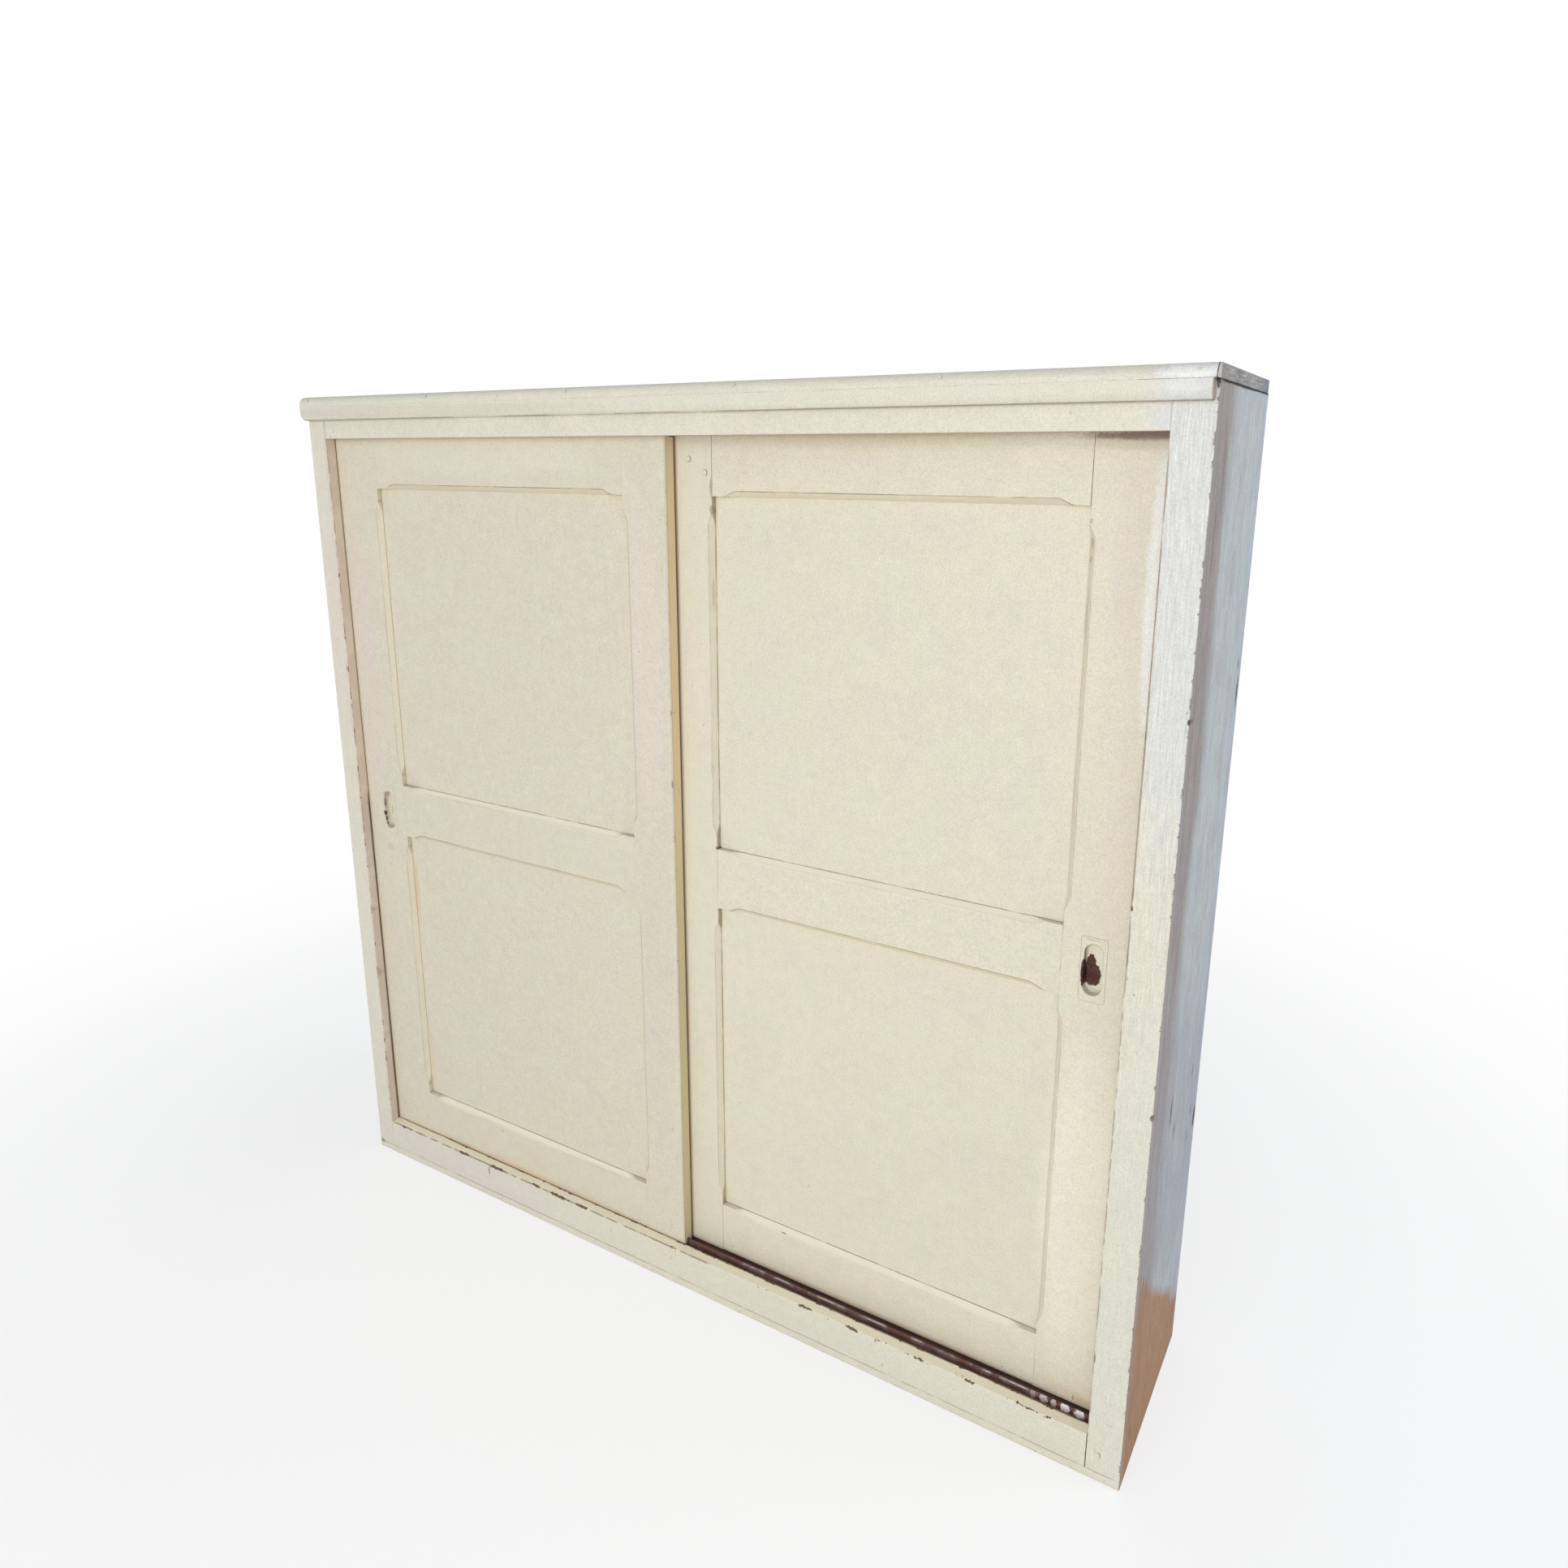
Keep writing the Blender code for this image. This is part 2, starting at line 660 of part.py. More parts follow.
def build_head(bare_wood):
    """The head rail and the two beads that keep the doors' top tongues apart."""
    left, right = INNER_LEFT + FIT, INNER_RIGHT - FIT
    board(
        "head_rail",
        (left, FRAME_BACK + FIT, HEAD_UNDERSIDE),
        (right, SILL_BACK, TOP_UNDERSIDE - FIT),
        bare_wood,
    )
    front_tongue_back = FRONT_DOOR_FACE + DOOR_TONGUE_THICKNESS
    rear_tongue_back = REAR_DOOR_FACE + DOOR_TONGUE_THICKNESS
    beads = (
        (
            "parting_bead",
            front_tongue_back + RUNNING_GAP,
            REAR_DOOR_FACE - RUNNING_GAP,
        ),
        ("rear_guide_bead", rear_tongue_back + RUNNING_GAP, SILL_BACK),
    )
    for name, near_side, far_side in beads:
        board(
            name,
            (left, near_side, BEAD_BOTTOM),
            (right, far_side, HEAD_UNDERSIDE - FIT),
            bare_wood,
            lambda edge: runs_along(edge, 0) and edge.verts[0].co.z < 0,
        )


def build_back(bare_wood):
    """Tongued and grooved back boards, with a small V on the inner face's joints."""
    inset = SIDE_THICKNESS - BACK_REBATE_WIDTH + FIT
    left = LEFT + inset
    pitch = (CARCASS_WIDTH - 2 * inset) / BACK_BOARD_COUNT
    front, back = BACK_FACE, BACK
    tongue_front = front + (BACK_THICKNESS - BACK_TONGUE_THICKNESS) / 2
    tongue_back = tongue_front + BACK_TONGUE_THICKNESS
    for index in range(BACK_BOARD_COUNT):
        start = left + index * pitch
        end = start + pitch - FIT
        outline = [(start, back)]
        if index > 0:
            deep = start + BACK_TONGUE_LENGTH + FIT
            outline += [
                (start, tongue_back + FIT),
                (deep, tongue_back + FIT),
                (deep, tongue_front - FIT),
                (start, tongue_front - FIT),
                (start, front + BACK_V_DEPTH),
                (start + BACK_V_DEPTH, front),
            ]
        else:
            outline += [(start, front)]
        if index < BACK_BOARD_COUNT - 1:
            tip = end + BACK_TONGUE_LENGTH
            outline += [
                (end - BACK_V_DEPTH, front),
                (end, front + BACK_V_DEPTH),
                (end, tongue_front),
                (tip, tongue_front),
                (tip, tongue_back),
                (end, tongue_back),
            ]
        else:
            outline += [(end, front)]
        outline += [(end, back)]
        name = f"back_board_{index + 1}"
        prism(name, outline, 2, BACK_BOARD_LIFT, TOP_UNDERSIDE - FIT, bare_wood)


def build_inside(bare_wood):
    """The centre partition, and on each side shelves that rest on battens."""
    front = SILL_BACK + 2 * FIT
    board(
        "centre_partition",
        (
            -PARTITION_THICKNESS / 2,
            front,
            FLOOR_TOP - HOUSING_DEPTH + FIT,
        ),
        (
            PARTITION_THICKNESS / 2,
            BACK_FACE - FIT,
            TOP_UNDERSIDE + HOUSING_DEPTH - FIT,
        ),
        bare_wood,
        at_front(-(BACK_FACE - FIT - front) / 2),
    )
    rooms = (
        ("left", INNER_LEFT, -PARTITION_THICKNESS / 2),
        ("right", PARTITION_THICKNESS / 2, INNER_RIGHT),
    )
    shelf_front = SILL_BACK + SHELF_SETBACK
    shelf_back = BACK_FACE - FIT
    for room, left, right in rooms:
        for number, share in enumerate(SHELF_HEIGHT_SHARES, 1):
            top = FLOOR_TOP + share * (TOP_UNDERSIDE - FLOOR_TOP)
            underside = top - SHELF_THICKNESS
            board(
                f"shelf_{room}_{number}",
                (left + FIT, shelf_front, underside),
                (right - FIT, shelf_back, top),
                bare_wood,
                at_front(-(shelf_back - shelf_front) / 2),
            )
            batten_top = underside - FIT
            front = shelf_front + BATTEN_SETBACK
            outline = (
                (front, batten_top),
                (shelf_back, batten_top),
                (shelf_back, batten_top - BATTEN_HEIGHT),
                (front + BATTEN_SPLAY, batten_top - BATTEN_HEIGHT),
                (front, batten_top - BATTEN_HEIGHT + BATTEN_SPLAY),
            )
            for end, wall, way in (("a", left, 1), ("b", right, -1)):
                start = wall + way * FIT
                name = f"batten_{room}_{number}{end}"
                prism(
                    name, outline, 0, start, start + way * BATTEN_THICKNESS, bare_wood
                )


class Door:
    """One frame-and-panel door, laid out from its outer edge towards the meeting stile.

    Every piece is parented to an empty at the door's outer front foot corner, which lies
    on the slide's axis. Places across the door are measured from its outer edge.
    """

    def __init__(self, name, side, face, outer_stile_width, panel_width):
        self.name = name
        self.side = side
        self.outer = outer_stile_width
        self.panel_end = outer_stile_width + panel_width
        self.width = self.panel_end + MEETING_STILE_WIDTH
        edge = INNER_LEFT if side > 0 else INNER_RIGHT
        place = (edge + side * DOOR_EDGE_CLEARANCE, face, DOOR_BOTTOM)
        self.frame = bpy.data.objects.new(f"{name}_slide", None)
        bpy.context.scene.collection.objects.link(self.frame)
        self.frame.location = place
        upper_foot = DOOR_BOTTOM_RAIL_WIDTH + LOWER_PANEL_HEIGHT + DOOR_MID_RAIL_WIDTH
        self.panels = (
            ("lower", DOOR_BOTTOM_RAIL_WIDTH, upper_foot - DOOR_MID_RAIL_WIDTH),
            ("upper", upper_foot, DOOR_HEIGHT - DOOR_TOP_RAIL_WIDTH),
        )
        self.groove = (PANEL_RECESS - FIT, PANEL_RECESS + PANEL_THICKNESS + FIT)
        self.pull_place = outer_stile_width - PULL_FROM_PANEL

    def span(self, start, end, front, back, low, high):
        """Two corners of a box, from places measured off the door's outer edge."""
        near_side, far_side = sorted((self.side * start, self.side * end))
        return (near_side, front, low), (far_side, back, high)

    def bar(self, part, corners, finish, eased=None):
        """A stile, rail or panel of this door."""
        return board(f"{self.name}_{part}", *corners, finish, eased, self.frame)

    def rails(self):
        """Each rail's name, its lower and upper edge, and its tenon on the pull side."""
        (_, lower_foot, lower_top), (_, upper_foot, upper_top) = self.panels
        short = PULL_FROM_PANEL - PULL_PLATE_WIDTH / 2 - PULL_TENON_MARGIN
        return (
            ("bottom_rail", 0.0, lower_foot, DOOR_TENON_LENGTH),
            ("mid_rail", lower_top, upper_foot, short),
            ("top_rail", upper_top, DOOR_HEIGHT, DOOR_TENON_LENGTH),
        )

    def tenon_heights(self, low, high):
        """The lower and upper side of a tenon, clear of the grooves and the top tongue."""
        top = high - DOOR_TENON_SHOULDER
        if near(high, DOOR_HEIGHT):
            top = high - DOOR_TONGUE_HEIGHT - DOOR_TENON_SHOULDER
        return low + DOOR_TENON_SHOULDER, top

    def cut_top_tongue(self, piece, start, end):
        """Rebates the back of the top edge, so that a tongue runs between the beads."""
        corners = self.span(
            start,
            end,
            DOOR_TONGUE_THICKNESS,
            DOOR_THICKNESS + OVERRUN,
            DOOR_HEIGHT - DOOR_TONGUE_HEIGHT,
            DOOR_HEIGHT + OVERRUN,
        )
        cut_box(piece, *corners)

    def build_stiles(self, paint):
        """Both stiles, with mortises, panel grooves and stopped chamfers."""
        stiles = (
            ("outer_stile", 0.0, self.outer, 1),
            ("meeting_stile", self.panel_end, self.width, -1),
        )
        for part, start, end, way in stiles:
            corners = self.span(start, end, 0.0, DOOR_THICKNESS, 0.0, DOOR_HEIGHT)
            middle = (Vector(corners[0]) + Vector(corners[1])) / 2
            inner = end if way > 0 else start
            outer = start if way > 0 else end
            stile = self.bar(
                part,
                corners,
                paint,
                lambda edge, x=self.side * outer - middle.x: runs_along(edge, 2)
                and near(edge.verts[0].co.x, x),
            )
            self.cut_top_tongue(stile, start - OVERRUN, end + OVERRUN)
            self.cut_track_plough(stile, start - OVERRUN, end + OVERRUN)
            for _, low, high in self.panels:
                groove = self.span(
                    inner - way * PANEL_GROOVE_DEPTH,
                    inner + way * OVERRUN,
                    *self.groove,
                    low - PANEL_GROOVE_DEPTH,
                    high + PANEL_GROOVE_DEPTH,
                )
                cut_box(stile, *groove)
                arris = self.side * inner
                into_wood = (-self.side * way, 0, 0)
                shape_by(
                    stile, chamfer_shape((arris, 0, low), (arris, 0, high), into_wood)
                )
            for _, low, high, pull_side_tenon in self.rails():
                length = pull_side_tenon if way > 0 else DOOR_TENON_LENGTH
                foot, top = self.tenon_heights(low, high)
                mortise = self.span(
                    inner - way * (length + FIT),
                    inner + way * OVERRUN,
                    PANEL_RECESS - FIT,
                    PANEL_RECESS + PANEL_THICKNESS + FIT,
                    foot - FIT,
                    top + FIT,
                )
                cut_box(stile, *mortise)
            if way > 0:
                place = (self.side * self.pull_place, 0.0, PULL_HEIGHT)
                shape_by(stile, pull_pocket_shape(), place=place)

    def build_rails(self, paint):
        """The three rails, with tenons, panel grooves and stopped chamfers."""
        for part, low, high, pull_side_tenon in self.rails():
            corners = self.span(
                self.outer + FIT, self.panel_end - FIT, 0.0, DOOR_THICKNESS, low, high
            )
            rail = self.bar(part, corners, paint)
            foot, top = self.tenon_heights(low, high)
            tenon = self.span(
                self.outer - pull_side_tenon,
                self.panel_end + DOOR_TENON_LENGTH,
                PANEL_RECESS,
                PANEL_RECESS + PANEL_THICKNESS,
                foot,
                top,
            )
            join_box(rail, *tenon)
            if part == "top_rail":
                self.cut_top_tongue(rail, self.outer, self.panel_end)
            for _, panel_foot, panel_top in self.panels:
                for edge, way in ((panel_foot, -1), (panel_top, 1)):
                    if near(edge, low if way > 0 else high):
                        self.cut_rail_edge(rail, edge, way)
            if part == "bottom_rail":
                self.cut_track_plough(rail, self.outer, self.panel_end)
                for place in self.sheave_places():
                    self.cut_sheave_pocket(rail, place)

    def cut_rail_edge(self, rail, edge, way):
        """The groove and the chamfer along the edge of a rail that faces a panel."""
        depths = sorted((edge - way * OVERRUN, edge + way * PANEL_GROOVE_DEPTH))
        groove = self.span(
            self.outer - OVERRUN, self.panel_end + OVERRUN, *self.groove, *depths
        )
        cut_box(rail, *groove)
        start = (self.side * self.outer, 0, edge)
        end = (self.side * self.panel_end, 0, edge)
        shape_by(rail, chamfer_shape(start, end, (0, 0, way)))

    def build_panels(self, paint):
        """The two flat panels, held in the grooves all round."""
        for part, low, high in self.panels:
            corners = self.span(
                self.outer - PANEL_TONGUE,
                self.panel_end + PANEL_TONGUE,
                PANEL_RECESS,
                PANEL_RECESS + PANEL_THICKNESS,
                low - PANEL_TONGUE,
                high + PANEL_TONGUE,
            )
            self.bar(f"{part}_panel", corners, paint)

    def build_pull(self, metal):
        """The pressed pull, let in flush in the outer stile."""
        name = f"{self.name}_flush_pull"
        mesh = mesh_from(name, pull_shape())
        mesh.shade_smooth()
        mesh.set_sharp_from_angle(angle=math.radians(35))
        place = (self.side * self.pull_place, 0.0, PULL_HEIGHT)
        add_object(name, mesh, metal, place, self.frame)

    def sheave_places(self):
        """Where the two wheels stand, from the door's outer edge."""
        return (self.outer + SHEAVE_FROM_STILE, self.panel_end - SHEAVE_FROM_STILE)

    def cut_sheave_pocket(self, rail, place):
        """The stepped mortise in the bottom rail's lower edge for a sheave housing."""
        ends = sorted(
            self.side * (place + way * (SHEAVE_LENGTH / 2 + FIT)) for way in (-1, 1)
        )
        shape_by(rail, prism_shape(sheave_outline(FIT, -OVERRUN), 0, *ends))

    def cut_track_plough(self, piece, start, end):
        """The groove along the door's lower edge, in which the track stands."""
        middle = DOOR_THICKNESS / 2
        corners = self.span(
            start,
            end,
            middle - TRACK_PLOUGH_WIDTH / 2,
            middle + TRACK_PLOUGH_WIDTH / 2,
            -OVERRUN,
            TRACK_PLOUGH_DEPTH,
        )
        cut_box(piece, *corners)

    def build_sheaves(self, metal, brass):
        """The sheave housings with their riveted pins, and the grooved wheels."""
        middle = DOOR_THICKNESS / 2
        wheel_mesh = turned_mesh(f"{self.name}_wheel", wheel_profile(), WHEEL_STEPS)
        wheel_mesh.materials.append(brass.material)
        for letter, place in zip("ab", self.sheave_places()):
            start, end = sorted(
                self.side * (place + way * SHEAVE_LENGTH / 2) for way in (-1, 1)
            )
            name = f"{self.name}_sheave_{letter}"
            outline = sheave_outline(0.0, 0.0)
            housing = prism(name, outline, 0, start, end, metal, self.frame)
            slot = self.span(
                place - SHEAVE_LENGTH / 2 - OVERRUN,
                place + SHEAVE_LENGTH / 2 + OVERRUN,
                middle - SHEAVE_SLOT_WIDTH / 2,
                middle + SHEAVE_SLOT_WIDTH / 2,
                -OVERRUN,
                SHEAVE_SLOT_TOP,
            )
            cut_box(housing, *slot)
            centre = Vector((self.side * place, middle, PIN_HEIGHT))
            shape_by(housing, pin_shape(), "UNION", centre)
            wheel_name = f"{self.name}_wheel_{letter}"
            add_object(wheel_name, wheel_mesh, None, centre, self.frame)

    def build(self, paint, metal, brass):
        """Builds every piece of the door."""
        self.build_stiles(paint)
        self.build_rails(paint)
        self.build_panels(paint)
        self.build_pull(metal)
        self.build_sheaves(metal, brass)


def main():
    """Builds the whole cabinet."""
    clear_scene()
    paint = Finish("cream_paint", (0.73, 0.69, 0.54), 0.45)
    bare_wood = Finish("bare_pine", (0.52, 0.36, 0.21), 0.70)
    worn_wood = Finish("worn_top", (0.42, 0.38, 0.32), 0.65)
    iron = Finish("dark_iron", (0.16, 0.11, 0.09), 0.55, 0.8)
    steel = Finish("worn_steel", (0.45, 0.42, 0.40), 0.35, 1.0)
    brass = Finish("dull_brass", (0.55, 0.42, 0.22), 0.40, 1.0)
    build_sides(paint)
    build_top(paint, worn_wood)
    build_face_frame(paint)
    build_floor(bare_wood, paint)
    build_tracks(steel)
    build_head(bare_wood)
    build_back(bare_wood)
    build_inside(bare_wood)
    front = Door(
        "front_door", 1, FRONT_DOOR_FACE, FRONT_OUTER_STILE_WIDTH, FRONT_PANEL_WIDTH
    )
    front.build(paint, iron, brass)
    rear = Door(
        "rear_door", -1, REAR_DOOR_FACE, REAR_OUTER_STILE_WIDTH, REAR_PANEL_WIDTH
    )
    rear.build(paint, iron, brass)


main()
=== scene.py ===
"""Looks of the sliding door cabinet: brushed cream paint, bare pine, metal, pegs, nails and light."""

import logging
import math
import random
from dataclasses import dataclass, field, replace
from enum import Enum

import bmesh
import bpy
from mathutils import Matrix, Vector


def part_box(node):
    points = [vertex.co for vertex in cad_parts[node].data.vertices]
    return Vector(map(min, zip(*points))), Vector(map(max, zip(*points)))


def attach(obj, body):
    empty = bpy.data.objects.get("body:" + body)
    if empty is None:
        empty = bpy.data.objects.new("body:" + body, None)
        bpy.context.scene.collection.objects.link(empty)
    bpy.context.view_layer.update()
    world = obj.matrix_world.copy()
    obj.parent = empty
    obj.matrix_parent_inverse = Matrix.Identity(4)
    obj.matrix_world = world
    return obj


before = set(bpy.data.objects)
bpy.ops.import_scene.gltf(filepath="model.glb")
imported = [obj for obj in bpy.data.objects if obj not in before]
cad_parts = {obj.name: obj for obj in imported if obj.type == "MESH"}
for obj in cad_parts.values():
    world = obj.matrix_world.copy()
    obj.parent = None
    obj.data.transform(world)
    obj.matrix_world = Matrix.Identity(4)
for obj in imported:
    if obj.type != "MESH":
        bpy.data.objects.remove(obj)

LOG = logging.getLogger("sliding_door_cabinet")
Colour = tuple[float, float, float]
Point = tuple[float, float, float]
Span = tuple[float, float]
Flake = tuple[float, float, float]
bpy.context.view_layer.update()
HAIR = 0.0003  # the joiner's gap between pieces that touch
MILLIMETRE = 0.001
BROAD_MARK = 12.0  # millimetres, from which a mark is a change in the paint itself
WELD_REACH = 0.00001
PUTTY_SUNK = HAIR / 4  # how far putty lies below the faces beside it
PUTTY_DEPTH = 2 * MILLIMETRE
SIDE_MIDDLE = (0.785, 0.795)  # how far out the middle of a side panel's thickness lies
SMOOTH_BELOW = math.radians(38)
SOFTENED_ABOVE = math.radians(40)


class Face(Enum):
    """A side of a piece, as the axis that it looks along and the way that it looks."""

    LEFT = (0, -1)
    RIGHT = (0, 1)
    FRONT = (1, -1)
    BACK = (1, 1)
    FOOT = (2, -1)
    HEAD = (2, 1)

    @property
    def along(self) -> int:
        """The axis that a line beside this face runs along, seen from the front or a side."""
        return 0 if self.value[0] == 2 else 2

    @property
    def across(self) -> int:
        """The level axis that lies in an upright face."""
        return 1 - self.value[0]


class Grain(Enum):
    """The way that a board's fibres run, as an axis."""

    ACROSS = 0
    DEEP = 1
    UPRIGHT = 2

    def stretch(self, across: float, along: float) -> Vector:
        """Scales that draw a pattern out along the fibres."""
        scales = Vector((across, across, across))
        scales[self.value] = along
        return scales


@dataclass(frozen=True)
class Box:
    """The room that a piece takes up, between its lowest and highest corners."""

    low: Vector
    high: Vector

    @classmethod
    def of(cls, node: str) -> "Box":
        """The box of a carried-over node at rest."""
        return cls(*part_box(node))

    @property
    def middle(self) -> Vector:
        """The centre of the box."""
        return (self.low + self.high) / 2

    @property
    def size(self) -> Vector:
        """The length of the box along each axis."""
        return self.high - self.low

    @classmethod
    def about(cls, place: Point, reach: float) -> "Box":
        """A cube that reaches equally far from a place each way."""
        half = Vector((reach, reach, reach))
        return cls(Vector(place) - half, Vector(place) + half)

    def narrowed(self, axis: int, low: float, high: float) -> "Box":
        """The same box with other ends along one axis."""
        low_corner, high_corner = self.low.copy(), self.high.copy()
        low_corner[axis], high_corner[axis] = low, high
        return Box(low_corner, high_corner)


class Signal:
    """A socket that varies over a surface, with Python's operators as Math nodes."""

    def __init__(self, sheet: "Sheet", socket: bpy.types.NodeSocket) -> None:
        """Wraps an output socket of a sheet's tree."""
        self.sheet = sheet
        self.socket = socket

    def __add__(self, other: "Signal | float") -> "Signal":
        """The sum."""
        return self.sheet.math("ADD", self, other)

    __radd__ = __add__

    def __sub__(self, other: "Signal | float") -> "Signal":
        """The difference."""
        return self.sheet.math("SUBTRACT", self, other)

    def __rsub__(self, other: "Signal | float") -> "Signal":
        """The difference, taken from a number."""
        return self.sheet.math("SUBTRACT", other, self)

    def __mul__(self, other: "Signal | float") -> "Signal":
        """The product."""
        return self.sheet.math("MULTIPLY", self, other)

    __rmul__ = __mul__

    def __truediv__(self, other: "Signal | float") -> "Signal":
        """The quotient."""
        return self.sheet.math("DIVIDE", self, other)

    def __pow__(self, other: "Signal | float") -> "Signal":
        """The power."""
        return self.sheet.math("POWER", self, other)

    def __abs__(self) -> "Signal":
        """The size without its sign."""
        return self.sheet.math("ABSOLUTE", self)

    def __mod__(self, other: float) -> "Signal":
        """What is left over after whole steps."""
        return self.sheet.math("FLOORED_MODULO", self, other)

    def least(self, other: "Signal | float") -> "Signal":
        """The smaller of the two."""
        return self.sheet.math("MINIMUM", self, other)

    def most(self, other: "Signal | float") -> "Signal":
        """The larger of the two."""
        return self.sheet.math("MAXIMUM", self, other)

    def rise(self, low: "Signal | float", high: "Signal | float") -> "Signal":
        """A smooth step from nothing at the low value to one at the high value.

        Args:
            low: Where it leaves nothing.
            high: Where it reaches one.

        Returns:
            The step.
        """
        return self.sheet.node(
            "ShaderNodeMapRange",
            {"interpolation_type": "SMOOTHSTEP"},
            {"Value": self, "From Min": low, "From Max": high},
        )

    def fall(self, low: "Signal | float", high: "Signal | float") -> "Signal":
        """A smooth step from one at the low value to nothing at the high value."""
        return 1.0 - self.rise(low, high)


class Sheet:
    """The node tree of one material."""

    def __init__(self, name: str) -> None:
        """Starts a material with a Principled shader on its output.

        Args:
            name: The material's name.
        """
        self.material = bpy.data.materials.new(name)
        self.material.use_nodes = True
        self.tree = self.material.node_tree
        self.tree.nodes.clear()
        self.shader = self.tree.nodes.new("ShaderNodeBsdfPrincipled")
        output = self.tree.nodes.new("ShaderNodeOutputMaterial")
        self.tree.links.new(self.shader.outputs["BSDF"], output.inputs["Surface"])
        self.surface = output.inputs["Surface"]
        self.place = self.node("ShaderNodeTexCoord", output="Object")
        split = {"Vector": self.place}
        self.axes = [self.node("ShaderNodeSeparateXYZ", inputs=split, output=axis) for axis in "XYZ"]

    def node(
        self,
        kind: str,
        settings: dict | None = None,
        inputs: dict | None = None,
        output: int | str = 0,
    ) -> Signal:
        """Adds a node, with its settings first and then its sockets.

        Args:
            kind: The node's type name.
            settings: Properties of the node; stops are a ramp's places and colours.
            inputs: Values or signals by the name or number of the input.
            output: The name or number of the output that is wanted.

        Returns:
            The chosen output.
        """
        made = self.tree.nodes.new(kind)
        for name, value in (settings or {}).items():
            setattr(made, name, value)
        for name, value in (inputs or {}).items():
            self.feed(self.find(made.inputs, name), value)
        return Signal(self, self.find(made.outputs, output))

    @staticmethod
    def find(sockets: object, name: int | str) -> bpy.types.NodeSocket:
        """The socket in use that has this name or number.

        Args:
            sockets: A node's inputs or outputs.
            name: The socket's name or number.

        Returns:
            The socket.
        """
        used = [socket for socket in sockets if socket.enabled]
        if isinstance(name, int):
            return used[name]
        return next(socket for socket in used if socket.name == name)

    def feed(self, socket: bpy.types.NodeSocket, value: object) -> None:
        """Links a signal to a socket, or sets a plain value on it.

        Args:
            socket: The input.
            value: A signal, a number or a row of numbers.
        """
        if isinstance(value, Signal):
            self.tree.links.new(value.socket, socket)
        elif isinstance(value, (int, float)):
            socket.default_value = value
        else:
            room = len(socket.default_value)
            socket.default_value = (*value, 1.0)[:room]

    def math(self, operation: str, *values: Signal | float) -> Signal:
        """A Math node on numbers."""
        inputs = dict(enumerate(values))
        return self.node("ShaderNodeMath", {"operation": operation}, inputs)

    def vector(self, operation: str, *values: object) -> Signal:
        """A Vector Math node whose result is a vector."""
        inputs = dict(enumerate(values))
        return self.node("ShaderNodeVectorMath", {"operation": operation}, inputs)

    def span(self, vector: Signal) -> Signal:
        """The length of a vector."""
        return self.node("ShaderNodeVectorMath", {"operation": "LENGTH"}, {0: vector}, "Value")

    def mix(self, share: Signal | float, under: object, over: object) -> Signal:
        """One colour laid over another."""
        settings = {"data_type": "RGBA"}
        inputs = {"Factor": share, "A": under, "B": over}
        return self.node("ShaderNodeMix", settings, inputs, "Result")

    def plain(self, colour: Colour) -> Signal:
        """One colour everywhere."""
        return self.mix(0.0, colour, colour)

    def shade(self, colour: Signal, strength: Signal) -> Signal:
        """A colour made lighter or darker."""
        inputs = {0: colour, "Scale": strength}
        return self.node("ShaderNodeVectorMath", {"operation": "SCALE"}, inputs)

    def noise(
        self, scales: float | Vector, seed: float, detail: float = 2.0, rough: float = 0.5
    ) -> Signal:
        """Soft noise round one half.

        Args:
            scales: Patches to the metre, alike or along each axis.
            seed: A number that moves the pattern.
            detail: How many finer layers it has.
            rough: How strong the finer layers are.

        Returns:
            The noise.
        """
        if isinstance(scales, float):
            scales = Vector((scales, scales, scales))
        shift = (seed, seed * 0.7, -seed)
        moved = self.vector("MULTIPLY_ADD", self.place, scales, shift)
        inputs = {"Vector": moved, "Scale": 1.0, "Detail": detail, "Roughness": rough}
        return self.node("ShaderNodeTexNoise", {"noise_dimensions": "3D"}, inputs)

    def specks(self, scale: float, seed: float) -> tuple[Signal, Signal]:
        """Scattered points: the distance to the nearest, and its own random number.

        Args:
            scale: Points to the metre.
            seed: A number that moves the pattern.

        Returns:
            The distance and the number.
        """
        moved = self.vector("MULTIPLY_ADD", self.place, (scale,) * 3, (seed,) * 3)
        inputs = {"Vector": moved, "Scale": 1.0}
        distance = self.node("ShaderNodeTexVoronoi", None, inputs)
        colour = Signal(self, distance.socket.node.outputs["Color"])
        chance = self.node("ShaderNodeSeparateColor", None, {"Color": colour}, "Red")
        return distance, chance

    def inside(self, box: Box, face: Face) -> Signal:
        """How far a point lies in from one face of a box.

        Args:
            box: The box.
            face: Its face.

        Returns:
            The depth in metres.
        """
        axis, way = face.value
        if way < 0:
            return self.axes[axis] - box.low[axis]
        return box.high[axis] - self.axes[axis]

    def between(self, axis: int, span: Span, soft: float = 0.015) -> Signal:
        """One between two places along an axis, fading out past them."""
        along = self.axes[axis]
        return along.rise(span[0] - soft, span[0] + soft) * along.fall(span[1] - soft, span[1] + soft)

    def from_arris(self, box: Box, grain: Grain) -> Signal:
        """How far a point lies from the nearest of the four arrises along the grain.

        Args:
            box: The piece's box.
            grain: The way that its fibres run.

        Returns:
            The distance in metres.
        """
        pairs = ((Face.LEFT, Face.RIGHT), (Face.FRONT, Face.BACK), (Face.FOOT, Face.HEAD))
        near = [
            self.inside(box, low).least(self.inside(box, high))
            for axis, (low, high) in enumerate(pairs)
            if axis != grain.value
        ]
        return near[0].most(near[1])

    def crevice(self, reach: float, samples: int = 4) -> Signal:
        """How closed in a point is by what lies within reach."""
        settings = {"samples": samples}
        inputs = {"Distance": reach}
        return 1.0 - self.node("ShaderNodeAmbientOcclusion", settings, inputs, "AO")

